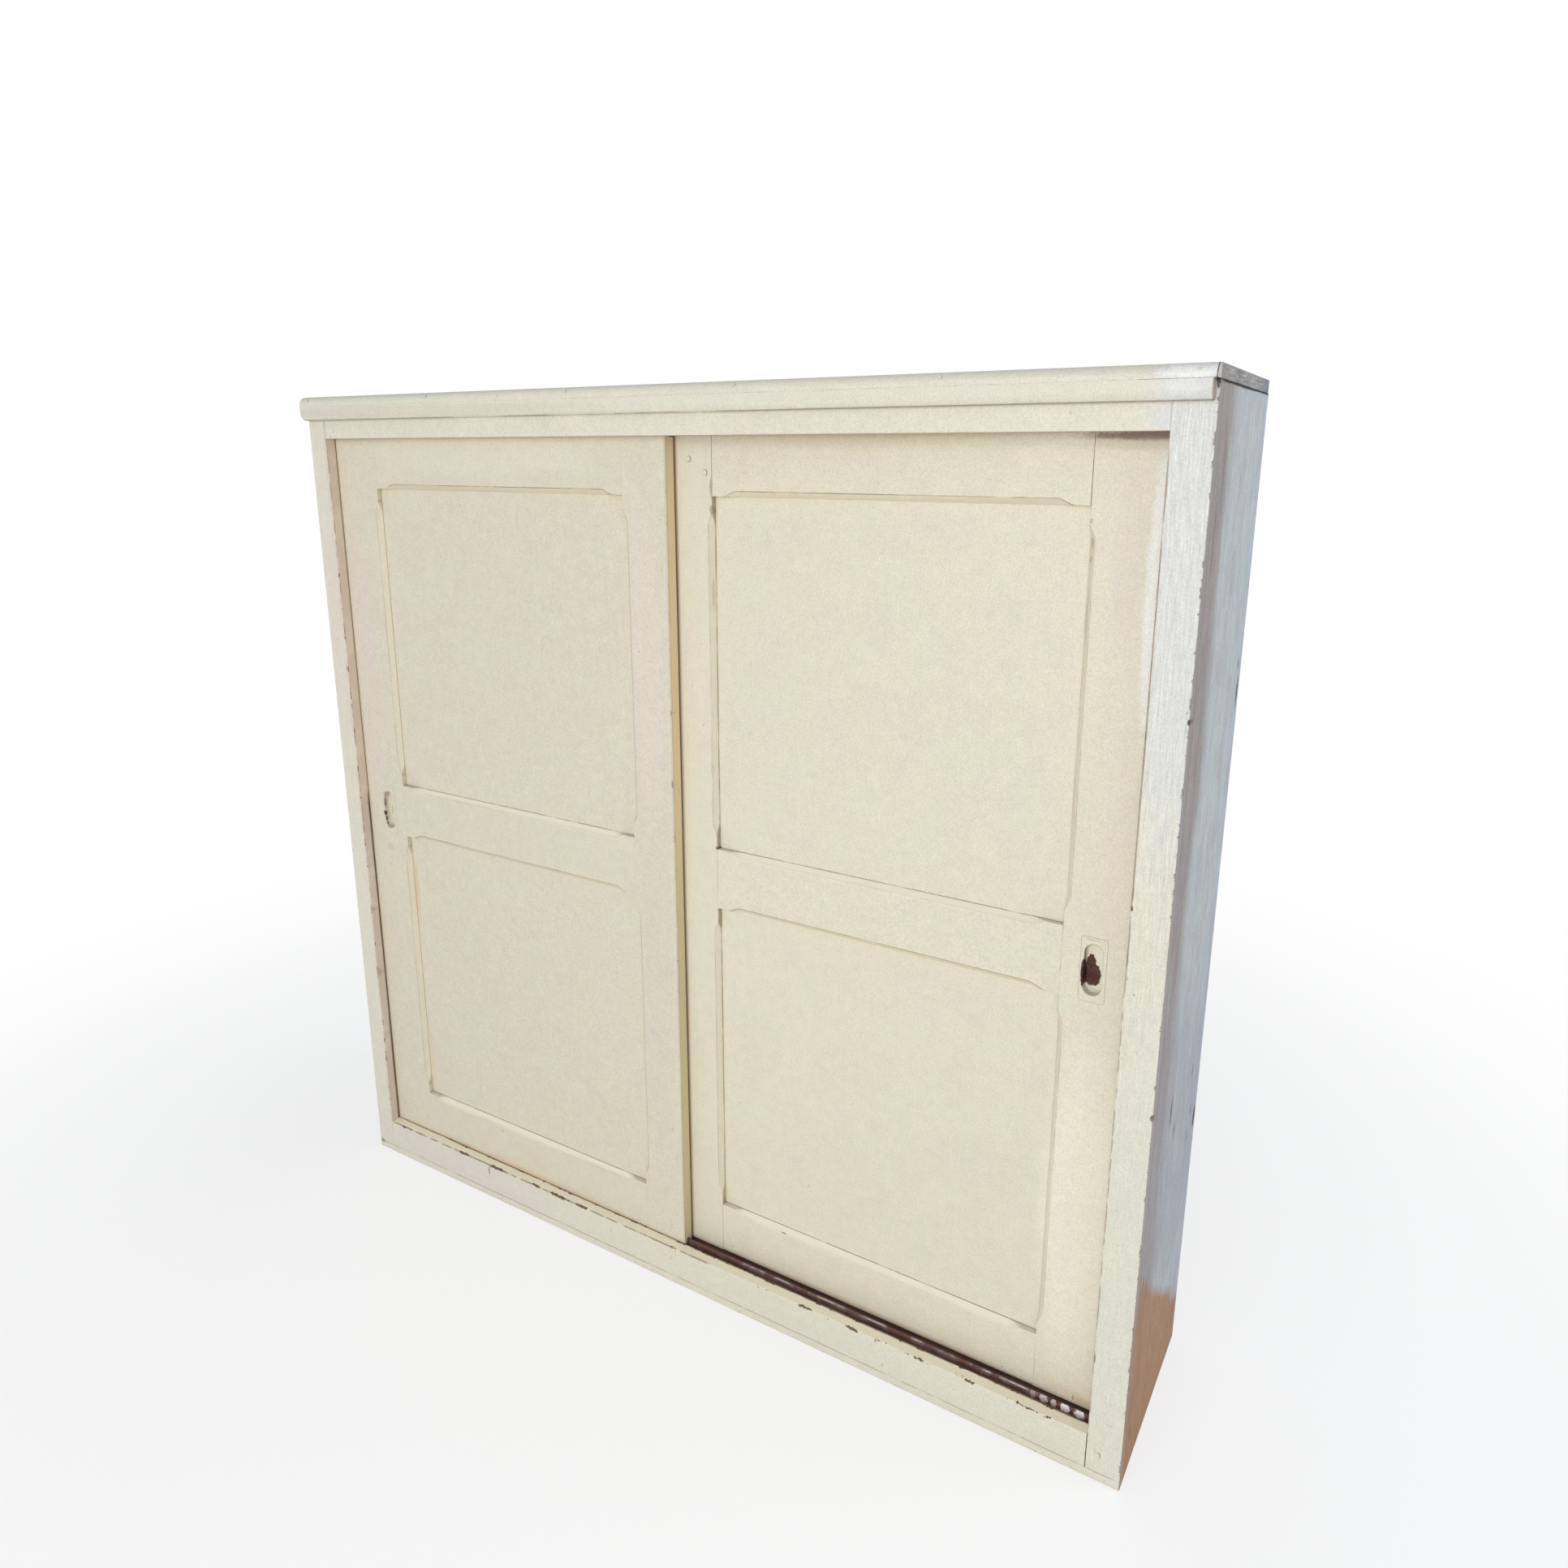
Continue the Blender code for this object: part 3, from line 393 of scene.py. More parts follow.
    def finish(self, colour: object, rough: object, height: Signal | None = None) -> None:
        """Feeds the shader its colour, roughness and a height in metres for its relief.

        Args:
            colour: The base colour.
            rough: The roughness.
            height: The height of the relief, if it has any.
        """
        self.feed(self.shader.inputs["Base Color"], colour)
        self.feed(self.shader.inputs["Roughness"], rough)
        if height is not None:
            inputs = {"Strength": 1.0, "Distance": 1.0, "Height": height}
            bump = self.node("ShaderNodeBump", None, inputs)
            self.feed(self.shader.inputs["Normal"], bump)


def seed_of(name: str) -> float:
    """A number that differs from piece to piece, the same each run."""
    return sum(place * ord(letter) for place, letter in enumerate(name, 3)) % 997 / 7


def wears(node: str, material: bpy.types.Material) -> None:
    """Gives a carried-over node a material in every slot.

    Args:
        node: The node.
        material: The material.
    """
    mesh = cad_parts[node].data
    if not mesh.materials:
        mesh.materials.append(material)
    for slot in range(len(mesh.materials)):
        mesh.materials[slot] = material


@dataclass(frozen=True)
class Chips:
    """Paint broken away along the arris of two faces."""

    faces: tuple[Face, Face]
    depth: float
    size: float
    cover: float
    span: Span | None = None

    def mask(self, sheet: Sheet, box: Box, seed: float) -> Signal:
        """How far inside a chip a point lies, in metres, and less than nothing outside.

        Args:
            sheet: The material to draw on.
            box: The part of the piece that shows.
            seed: A number that moves the pattern.

        Returns:
            The depth inside a chip.
        """
        arris = sheet.inside(box, self.faces[0]).most(sheet.inside(box, self.faces[1]))
        coarse = sheet.noise(1.0 / self.size, seed + 3.0, 1.0)
        fine = sheet.noise(6.0 / self.size, seed + 9.0, 2.0)
        least = 0.70 - self.cover * 0.30
        reach = (coarse + fine * 0.3 - 0.15).rise(least, least + 0.16)
        depth = reach * self.depth * (fine * 1.6)
        if self.span is not None:
            depth = depth * sheet.between(self.faces[1].along, self.span)
        return depth - arris


@dataclass(frozen=True)
class Mark:
    """A spot, scrape, stain or patch of painted light or shade, placed in millimetres across and up the
    face it lies on.
    """

    across: float
    up: float
    half_width: float
    half_height: float
    colour: Colour
    strength: float = 0.8
    ragged: float = 0.5
    soft: float = 0.4
    face: Face = Face.FRONT
    deep: float = 30.0

    @property
    def broad(self) -> bool:
        """Whether it is a change in the paint itself, under the brush marks."""
        return min(self.half_width, self.half_height) >= BROAD_MARK

    def moved(self, origin: Vector) -> "Mark":
        """The same mark, placed from an origin in millimetres."""
        return replace(self, across=origin.x + self.across, up=origin.z + self.up)

    def near(self, box: Box) -> bool:
        """Whether any of the mark lies on a piece with this box.

        Args:
            box: The piece's box.

        Returns:
            True where it does.
        """
        axis = self.face.across
        places = ((axis, self.across, self.half_width), (2, self.up, self.half_height))
        for way, place, half in places:
            low, high = (place - half) * MILLIMETRE, (place + half) * MILLIMETRE
            if high < box.low[way] or low > box.high[way]:
                return False
        return True

    def mask(self, sheet: Sheet, level: float, seed: float) -> Signal:
        """Where the mark lies.

        Args:
            sheet: The material to draw on.
            level: Where the marked face lies along the axis that it looks along.
            seed: A number that moves the ragged edge.

        Returns:
            The mask.
        """
        depth_axis = self.face.value[0]
        place, reach = Vector(), Vector()
        place[self.face.across], reach[self.face.across] = self.across, self.half_width
        place[2], reach[2] = self.up, self.half_height
        place[depth_axis], reach[depth_axis] = level / MILLIMETRE, self.deep
        place, reach = place * MILLIMETRE, reach * MILLIMETRE
        offset = sheet.vector("SUBTRACT", sheet.place, place)
        spread = sheet.span(sheet.vector("MULTIPLY", offset, [1.0 / size for size in reach]))
        if self.ragged:
            grain = 1.6 / (MILLIMETRE * min(self.half_width, self.half_height))
            wander = sheet.noise(min(grain, 900.0), seed + self.up * 0.09, 3.0, 0.6) - 0.5
            spread = spread + wander * self.ragged * 2.0
        return spread.fall(1.0 - self.soft, 1.0) * self.strength


@dataclass(frozen=True)
class Line:
    """Grime, yellowing, a crack, a painted shadow or a painted highlight that follows one face of a
    piece's visible part.

    With a second face beside it, it follows the arris of the two. With a sweep, its offset
    grows over that length from both ends of its span, as a stopped chamfer's arris does.
    """

    face: Face
    width: float
    colour: Colour
    strength: float = 0.8
    cover: float = 0.7
    length: float = 0.05
    offset: float = 0.0
    span: Span | None = None
    beside: Face | None = None
    sweep: float = 0.0

    @property
    def broad(self) -> bool:
        """Whether it is a change in the paint itself, under the brush marks."""
        return self.width >= BROAD_MARK * MILLIMETRE

    def mask(self, sheet: Sheet, box: Box, seed: float) -> Signal:
        """Where the line lies, broken along its length.

        Args:
            sheet: The material to draw on.
            box: The part of the piece that shows.
            seed: A number that moves the pattern.

        Returns:
            The mask.
        """
        reach = sheet.inside(box, self.face)
        if self.beside is not None:
            reach = reach.most(sheet.inside(box, self.beside))
        offset = self.offset
        if self.sweep:
            along, (low, high) = sheet.axes[self.face.along], self.span
            grown = along.rise(low, low + self.sweep) * along.fall(high - self.sweep, high)
            offset = grown * self.offset
        away = abs(reach - offset)
        broken = sheet.noise(1.0 / self.length, seed + self.width * 9000 + self.offset * 700, 3.0, 0.6)
        width = self.width * (broken * 1.4 + 0.3)
        least = 0.62 - self.cover * 0.32
        mask = away.fall(width * 0.35, width) * broken.rise(least, least + 0.12) * self.strength
        if self.span is not None:
            mask = mask * sheet.between(self.face.along, self.span, 0.003 if self.sweep else 0.015)
        return mask


@dataclass(frozen=True)
class Tone:
    """Another colour over a whole face of a piece, such as an edge rubbed bare or a face in painted
    shade.
    """

    face: Face
    colour: Colour
    strength: float = 1.0
    depth: float = 0.0012
    span: Span | None = None

    def mask(self, sheet: Sheet, box: Box, seed: float) -> Signal:
        """Where the face lies, with a wandering edge.

        Args:
            sheet: The material to draw on.
            box: The part of the piece that shows.
            seed: A number that moves the pattern.

        Returns:
            The mask.
        """
        away = abs(sheet.inside(box, self.face))
        wander = sheet.noise(90.0, seed + 5.0, 3.0) * self.depth
        mask = away.fall(wander * 0.5, wander + HAIR) * self.strength
        if self.span is not None:
            mask = mask * sheet.between(self.face.along, self.span, 0.12)
        return mask


@dataclass(frozen=True)
class WearAndShade:
    """All that has happened to one painted piece, with the painted light and shade laid on it."""

    chips: tuple[Chips, ...] = ()
    lines: tuple[Line, ...] = ()
    tones: tuple[Tone, ...] = ()
    marks: tuple[Mark, ...] = ()
    # Colour of a painted floor reflection at a side's foot.
    slope: Colour | None = None

    def over(self, sheet: Sheet, box: Box, seed: float, colour: Signal, broad: bool) -> Signal:
        """Lays the lines and marks of one kind over a colour.

        Args:
            sheet: The material to draw on.
            box: The part of the piece that shows.
            seed: A number that moves their patterns.
            colour: What lies under them.
            broad: Whether to lay the broad ones or the others.

        Returns:
            The colour with them on it.
        """
        for index, line in enumerate(self.lines):
            if line.broad == broad:
                colour = sheet.mix(line.mask(sheet, box, seed + 7 * index), colour, line.colour)
        for index, mark in enumerate(self.marks):
            if mark.broad == broad:
                level = box.low.y if mark.face is Face.FRONT else box.high.x
                colour = sheet.mix(mark.mask(sheet, level, seed + index), colour, mark.colour)
        return colour


TAN: Colour = (0.88, 0.67, 0.40)
OLIVE: Colour = (0.72, 0.60, 0.34)
BROWN: Colour = (0.13, 0.075, 0.05)
BLACK: Colour = (0.035, 0.022, 0.014)
UMBER: Colour = (0.27, 0.19, 0.12)
OCHRE: Colour = (0.52, 0.40, 0.20)
YELLOW: Colour = (0.74, 0.64, 0.41)
GREY: Colour = (0.36, 0.33, 0.28)
PINK: Colour = (0.735, 0.655, 0.56)
COOL: Colour = (0.665, 0.675, 0.650)
FRESH: Colour = (0.700, 0.695, 0.580)


@dataclass(frozen=True)
class CreamPaint:
    """Old oil paint, laid on by brush and gone yellow.

    A side panel can have a painted reflection of the floor, brown, at its foot and another paint on its
    inner face.
    """

    body: Colour = (0.725, 0.680, 0.535)
    pink: Colour = (0.745, 0.665, 0.555)
    green: Colour = (0.695, 0.690, 0.535)
    primer: Colour = (0.62, 0.50, 0.36)
    bare: Colour = (0.17, 0.11, 0.07)
    # Colour that crevices darken towards: grime, and painted shade between parts.
    grime: Colour = (0.34, 0.26, 0.16)
    mottle: float = 0.38
    speckle: float = 0.27
    patches: float = 0.03
    streaks: float = 0.03
    streak_scale: float = 500.0
    streak_length: float = 7.0
    calm: Span | None = None
    inner: Colour | None = None
    rough: float = 0.42
    gloss: float = 0.5
    arris_wear: float = 0.4
    # Where the painted floor reflection at a side's foot ends, how its edge slants and how it wanders.
    reflection_height: float = 0.222
    reflection_slant: float = 0.80
    reflection_wander: float = 0.05

    def lay(self, node: str, grain: Grain, box: Box | None = None, wear: WearAndShade = WearAndShade()) -> None:
        """Paints a node.

        Args:
            node: The carried-over node.
            grain: The way that the brush went.
            box: The part of the node that shows, where tenons or tongues hide.
            wear: What has happened to the piece.
        """
        sheet = Sheet(f"{node}_paint")
        sheet.finish(*self.coat(sheet, node, grain, box or Box.of(node), wear))
        sheet.feed(sheet.shader.inputs["Specular IOR Level"], self.gloss)
        wears(node, sheet.material)

    def coat(
        self, sheet: Sheet, name: str, grain: Grain, box: Box, wear: WearAndShade
    ) -> tuple[Signal, Signal, Signal]:
        """The paint's colour, roughness and relief.

        Args:
            sheet: The material to draw on.
            name: The piece's name, which moves its patterns.
            grain: The way that the brush went.
            box: The part of the piece that shows.
            wear: What has happened to the piece.

        Returns:
            The colour, the roughness and the height in metres.
        """
        seed = seed_of(name)
        first = sheet.noise(13.0, seed, 4.0, 0.6).rise(0.44, 0.64) * self.mottle
        second = sheet.noise(17.0, seed + 31.0, 4.0, 0.6).rise(0.46, 0.64) * self.mottle
        colour = sheet.mix(second, sheet.mix(first, self.body, self.pink), self.green)
        colour = wear.over(sheet, box, seed, colour, True)
        # Painted reflection of the floor, brown, at a side's foot.
        if wear.slope is not None:
            colour = sheet.mix(self.foot_floor_reflection(sheet, seed), colour, wear.slope)
        if self.inner is not None:
            colour = sheet.mix(abs(sheet.axes[0]).fall(*SIDE_MIDDLE), colour, self.inner)
        strokes = grain.stretch(self.streak_scale, self.streak_length)
        brush = sheet.noise(strokes, seed + 2.0, 3.0, 0.6)
        patch = sheet.noise(26.0, seed + 6.0, 3.0, 0.6)
        fine = sheet.noise(420.0, seed + 4.0, 2.0, 0.6)
        cloud = sheet.noise(60.0, seed + 5.0, 3.0, 0.6)
        streaky = (brush - 0.5) * self.streaks * 2.0
        if self.calm is not None:
            streaky = streaky * (sheet.axes[2].rise(*self.calm) * 0.65 + 0.35)
        light = streaky + (fine - 0.5) * self.speckle * 1.7 + 1.0
        light = light + (cloud - 0.5) * self.speckle * 0.5 + (patch - 0.5) * self.patches * 2.0
        colour = sheet.shade(colour, light)
        distance, chance = sheet.specks(22.0, seed)
        dots = distance.fall(0.02, 0.05) * chance.fall(0.12, 0.14)
        colour = sheet.mix(dots * 0.6, colour, GREY)
        # Darker where ambient occlusion finds surfaces close by: grime in crevices, and painted shade
        # in corners and between parts.
        closed = sheet.crevice(0.006)
        crevice_shade_and_grime = closed.rise(0.42, 0.85) * cloud.rise(0.30, 0.60)
        colour = sheet.mix(crevice_shade_and_grime * 0.45, colour, self.grime)
        for index, tone in enumerate(wear.tones):
            colour = sheet.mix(tone.mask(sheet, box, seed + index), colour, tone.colour)
        colour = wear.over(sheet, box, seed, colour, False)
        rubbed = sheet.from_arris(box, grain).fall(0.0003, 0.0014)
        rubbed = rubbed * sheet.noise(85.0, seed + 8.0, 3.0, 0.6).rise(0.46, 0.66)
        colour = sheet.mix(rubbed * self.arris_wear, colour, self.primer)
        lost = rubbed * 0.2
        for index, chips in enumerate(wear.chips):
            margin = chips.mask(sheet, box, seed + 13 * index)
            gone = margin.rise(0.0, 0.0003)
            wood = sheet.mix(margin.rise(0.0002, 0.0009), self.primer, self.bare)
            colour = sheet.mix(gone, colour, wood)
            lost = lost.most(gone)
        rough = cloud * 0.16 + (self.rough - 0.08) + lost * 0.25
        swell = (sheet.noise(16.0, seed + 14.0) - 0.5) * 0.0014
        relief = (brush - 0.5) * 0.00006 + (fine - 0.5) * 0.00005 + cloud * 0.00014
        return colour, rough, relief + swell - lost * 0.00025

    def foot_floor_reflection(self, sheet: Sheet, seed: float) -> Signal:
        """A painted reflection of the floor, brown, at a side's foot, whose upper edge slants down to
        the back.

        Args:
            sheet: The material to draw on.
            seed: A number that moves the pattern.

        Returns:
            The mask.
        """
        level = sheet.axes[1] * self.reflection_slant + sheet.axes[2] - self.reflection_height
        wander = (sheet.noise(9.0, seed, 4.0, 0.6) - 0.5) * self.reflection_wander
        grain = sheet.noise(70.0, seed + 1.0, 4.0, 0.7)
        return (level + wander).fall(-0.014, 0.020) * (0.70 + grain * 0.5)


@dataclass(frozen=True)
class Blotch:
    """A patch of spilt paint, placed in the part's own frame."""

    place: Vector
    reach: Vector
    colour: Colour

    def mask(self, sheet: Sheet, seed: float) -> Signal:
        """Where the patch lies.

        Args:
            sheet: The material to draw on.
            seed: A number that moves the pattern.

        Returns:
            The mask.
        """
        offset = sheet.vector("SUBTRACT", sheet.place, self.place)
        spread = sheet.span(sheet.vector("DIVIDE", offset, self.reach))
        wander = sheet.noise(300.0, seed, 3.0, 0.6) - 0.5
        return (spread + wander * 0.8).fall(0.75, 1.0)


@dataclass(frozen=True)
class Pine:
    """Bare pine boards, brown with age."""

    early: Colour = (0.55, 0.37, 0.20)
    late: Colour = (0.33, 0.19, 0.09)
    dust: Colour = (0.50, 0.43, 0.33)
    ring: float = 0.0055
    depth: float = 0.060
    lean: float = 0.035
    rough: float = 0.62

    def lay(
        self,
        node: str,
        grain: Grain,
        wear: WearAndShade = WearAndShade(),
        blotches: tuple[Blotch, ...] = (),
    ) -> None:
        """Gives a node the look of bare pine.

        Args:
            node: The carried-over node.
            grain: The way that its fibres run.
            wear: Stains and lines on it.
            blotches: Paint spilt on it.
        """
        sheet = Sheet(f"{node}_pine")
        colour, rough, height = self.figure(sheet, node, grain, Box.of(node), wear)
        for index, blotch in enumerate(blotches):
            mask = blotch.mask(sheet, index + 1.0)
            colour = sheet.mix(mask, colour, blotch.colour)
            height = height + mask * 0.0003
        sheet.finish(colour, rough, height)
        wears(node, sheet.material)

    def figure(
        self, sheet: Sheet, name: str, grain: Grain, box: Box, wear: WearAndShade = WearAndShade()
    ) -> tuple[Signal, Signal, Signal]:
        """The wood's rings, fibres and stains, with painted shade in its crevices.

        Args:
            sheet: The material to draw on.
            name: The piece's name, which moves its patterns.
            grain: The way that its fibres run.
            box: The piece's box.
            wear: Stains and lines on it.

        Returns:
            The colour, the roughness and the height in metres.
        """
        seed = seed_of(name)
        others = [axis for axis in range(3) if axis != grain.value]
        thin = min(others, key=lambda axis: box.size[axis])
        wide = others[0] if thin == others[1] else others[1]
        middle = box.middle
        sway = math.sin(seed)
        along = sheet.axes[grain.value] - middle[grain.value]
        wander = sheet.noise(grain.stretch(9.0, 1.6), seed, 2.0) - 0.5
        across = sheet.axes[wide] - middle[wide] - sway * box.size[wide] * 0.3 + wander * 0.035
        under = sheet.axes[thin] - middle[thin] + self.depth + along * self.lean * sway
        away = ((across * across) + (under * under)) ** 0.5
        turn = (away / self.ring) % 1.0
        late = turn.rise(0.35, 0.92) * turn.fall(0.93, 1.0)
        fibre = sheet.noise(grain.stretch(900.0, 14.0), seed + 3.0, 3.0, 0.65)
        colour = sheet.mix(late * 0.75 * (fibre + 0.35), self.early, self.late)
        patch = sheet.noise(grain.stretch(9.0, 2.0), seed + 5.0, 3.0)
        colour = sheet.shade(colour, (fibre - 0.5) * 0.30 + (patch - 0.5) * 0.45 + 1.0)
        dusty = sheet.noise(14.0, seed + 8.0, 4.0).rise(0.50, 0.80) * 0.35
        colour = sheet.mix(dusty, colour, self.dust)
        # Painted shade: browner where ambient occlusion finds surfaces close by, in corners and between
        # parts.
        closed = sheet.crevice(0.012).rise(0.25, 0.80)
        colour = sheet.mix(closed * 0.55, colour, BROWN)
        for index, line in enumerate(wear.lines):
            mask = line.mask(sheet, box, seed + 7 * index)
            colour = sheet.mix(mask, colour, line.colour)
        rough = fibre * 0.15 + self.rough
        height = (fibre - 0.5) * 0.00016 + late * 0.00006
        return colour, rough, height


@dataclass(frozen=True)
class Metal:
    """A plain metal with tarnish or rust over it."""

    body: Colour
    tarnish: Colour
    rough: float = 0.35
    cover: float = 0.5
    patch: float = 60.0
    metallic: float = 1.0

    def lay(self, node: str, scratch: Grain = Grain.ACROSS, blotches: tuple[Blotch, ...] = ()) -> None:
        """Gives a node this metal.

        Args:
            node: The carried-over node.
            scratch: The way that it is rubbed.
            blotches: Paint spilt on it.
        """
        sheet = Sheet(f"{node}_metal")
        colour, rough, height, metallic = self.skin(sheet, node, scratch)
        for index, blotch in enumerate(blotches):
            mask = blotch.mask(sheet, index + 1.0)
            colour = sheet.mix(mask, colour, blotch.colour)
            metallic = metallic * (1.0 - mask)
        sheet.finish(colour, rough, height)
        sheet.feed(sheet.shader.inputs["Metallic"], metallic)
        wears(node, sheet.material)

    def skin(self, sheet: Sheet, name: str, scratch: Grain) -> tuple[Signal, Signal, Signal, Signal]:
        """The metal's colour, roughness, relief and how metallic it is.

        Args:
            sheet: The material to draw on.
            name: The piece's name, which moves its patterns.
            scratch: The way that it is rubbed.

        Returns:
            The colour, the roughness, the height in metres and the metallic share.
        """
        seed = seed_of(name)
        spots = sheet.noise(self.patch, seed, 5.0, 0.65)
        dull = spots.rise(0.70 - self.cover * 0.5, 0.82 - self.cover * 0.5)
        rubbed = sheet.noise(scratch.stretch(1500.0, 25.0), seed + 2.0, 2.0)
        colour = sheet.shade(sheet.plain(self.body), rubbed * 0.4 + 0.8)
        colour = sheet.mix(dull, colour, self.tarnish)
        rough = rubbed * 0.2 + self.rough - 0.1 + dull * 0.35
        height = rubbed * 0.00002 + dull * spots * 0.00012
        metallic = (1.0 - dull * 0.85) * self.metallic
        return colour, rough, height, metallic


@dataclass(frozen=True)
class PaintedPull:
    """A pressed iron pull under the door's paint, worn back to the metal in its cup, with painted
    shadow on its rim and left wall.
    """

    paint: CreamPaint
    iron: Metal
    # Marks where the paint is gone to the iron, some of them painted shadow on the cup's left wall.
    worn: tuple[Mark, ...]
    shadows: tuple[Mark, ...] = ()
    # How dark the rim's arc is: grime, and painted shadow of the rim.
    rim: float = 0.65
    cup_width: float = 0.026
    cup_height: float = 0.076
    gloss: float = 0.25

    def past_rim(self, sheet: Sheet, box: Box) -> Signal:
        """How far outside the cup's rounded outline a point lies, in metres.

        Args:
            sheet: The material to draw on.
            box: The pull's box.

        Returns:
            The distance.
        """
        radius = self.cup_width / 2
        across = sheet.axes[0] - box.middle.x
        over = (abs(sheet.axes[2] - box.middle.z) - (self.cup_height / 2 - radius)).most(0.0)
        return ((across * across) + (over * over)) ** 0.5 - radius

    def lay(self, node: str) -> None:
        """Dresses a pull, with its marks placed from the middle of its plate.

        Args:
            node: The pull's node.
        """
        sheet = Sheet(f"{node}_paint")
        box = Box.of(node)
        colour, rough, height = self.paint.coat(sheet, node, Grain.UPRIGHT, box, WearAndShade())
        seed = seed_of(node)
        centre = box.middle / MILLIMETRE
        # Dark arc on the cup's rim, strongest at its upper left: partly grime, partly painted shadow of
        # the rim.
        upper_left = (sheet.axes[2] - sheet.axes[0] * 2.0).rise(
            *(box.middle.z - box.middle.x * 2.0 + reach for reach in (-0.012, 0.012))
        )
        rim = abs(self.past_rim(sheet, box) + 0.0003).fall(0.0003, 0.0012)
        rim = rim * (upper_left + 0.2) * self.rim
        colour = sheet.mix(rim, colour, (0.16, 0.13, 0.10))
        for index, shadow in enumerate(self.shadows):
            mark = shadow.moved(centre)
            colour = sheet.mix(mark.mask(sheet, box.low.y, seed + index), colour, mark.colour)
        for index, worn in enumerate(self.worn):
            mark = worn.moved(centre)
            gone = mark.mask(sheet, box.low.y, seed + 9 * index)
            fleck = sheet.noise(240.0, seed, 4.0, 0.7)
            rust = sheet.mix(fleck.rise(0.35, 0.65), mark.colour, self.iron.tarnish)
            colour = sheet.mix(gone, colour, rust)
            rough = rough + gone * 0.15
            height = height - gone * 0.0003 + gone * fleck * 0.0002
        sheet.finish(colour, rough, height)
        sheet.feed(sheet.shader.inputs["Specular IOR Level"], self.gloss)
        wears(node, sheet.material)


DOOR_PAINT = CreamPaint(
    body=(0.680, 0.636, 0.499), pink=(0.694, 0.622, 0.519), green=(0.677, 0.672, 0.520)
)
REAR_PAINT = CreamPaint(
    body=(0.725, 0.684, 0.536), pink=(0.710, 0.636, 0.531), green=(0.688, 0.683, 0.530)
)
FRAME_PAINT = CreamPaint(body=(0.720, 0.690, 0.560), pink=(0.735, 0.675, 0.575))
STILE_PAINT = replace(
    FRAME_PAINT,
    streaks=0.34,
    streak_scale=420.0,
    streak_length=24.0,
    calm=(0.55, 1.15),
    bare=(0.30, 0.27, 0.24),
)
# The side's cool, dark blue-grey is partly its paint and partly painted shade, as the side looks away
# from the light.
SIDE_PAINT_AND_SHADE = CreamPaint(
    body=(0.520, 0.550, 0.550),
    pink=(0.490, 0.485, 0.500),
    green=(0.500, 0.555, 0.520),
    inner=(0.62, 0.57, 0.43),
    primer=(0.42, 0.38, 0.36),
    rough=0.72,
    gloss=0.15,
    streaks=0.38,
    streak_scale=190.0,
    streak_length=14.0,
    speckle=0.34,
    mottle=0.9,
)
TOP_PAINT = CreamPaint(body=(0.66, 0.64, 0.54), rough=0.5, streaks=0.06)
INSIDE_PAINT = CreamPaint(body=(0.64, 0.59, 0.45), rough=0.5)
PINE = Pine()
OLD_PINE = Pine(early=(0.47, 0.32, 0.19), late=(0.27, 0.165, 0.085), dust=(0.42, 0.37, 0.31))
DARK_PINE = Pine(early=(0.36, 0.23, 0.14), late=(0.19, 0.11, 0.06))
SILL_PINE = Pine(early=(0.17, 0.085, 0.065), late=(0.075, 0.035, 0.03), dust=(0.24, 0.15, 0.11))
RAIL_STEEL = Metal((0.46, 0.37, 0.36), (0.15, 0.07, 0.05), 0.45, 0.50, 14.0)
IRON = Metal((0.20, 0.16, 0.14), (0.090, 0.032, 0.022), 0.45, 0.75, 180.0)
BRASS = Metal((0.62, 0.46, 0.22), (0.20, 0.14, 0.07), 0.30, 0.50, 150.0)
NAIL_IRON = Metal((0.16, 0.13, 0.12), (0.11, 0.06, 0.04), 0.5, 0.7, 400.0)


def mesh_of(name: str, shape: bmesh.types.BMesh) -> bpy.types.Mesh:
    """A mesh made from a shape, which is freed.

    Args:
        name: The mesh's name.
        shape: The shape.

    Returns:
        The mesh.
    """
    mesh = bpy.data.meshes.new(name)
    shape.to_mesh(mesh)
    shape.free()
    return mesh


def linked(name: str, data: bpy.types.ID) -> bpy.types.Object:
    """A new object of the scene, at the origin."""
    thing = bpy.data.objects.new(name, data)
    bpy.context.scene.collection.objects.link(thing)
    return thing


def lathe(name: str, profile: list[tuple[float, float]], steps: int) -> bpy.types.Mesh:
    """A turned mesh about Z.

    Args:
        name: The mesh's name.
        profile: Radius and height, from the middle of the foot round to the middle of the top.
        steps: How many sides it has.

    Returns:
        The mesh, closed and shaded smooth.
    """
    shape = bmesh.new()
    rings = []
    for radius, height in profile:
        if radius == 0.0:
            rings.append([shape.verts.new((0.0, 0.0, height))])
            continue
        ring = []
        for step in range(steps):
            angle = math.tau * step / steps
            ring.append(shape.verts.new((radius * math.cos(angle), radius * math.sin(angle), height)))
        rings.append(ring)
    for lower, upper in zip(rings, rings[1:]):
        for step in range(steps):
            following = (step + 1) % steps
            corners = [lower[step % len(lower)], lower[following % len(lower)]]
            corners += [upper[following % len(upper)], upper[step % len(upper)]]
            unique = list(dict.fromkeys(corners))
            shape.faces.new(unique)
    bmesh.ops.recalc_face_normals(shape, faces=shape.faces)
    mesh = mesh_of(name, shape)
    mesh.shade_smooth()
    mesh.set_sharp_from_angle(angle=SMOOTH_BELOW)
    return mesh


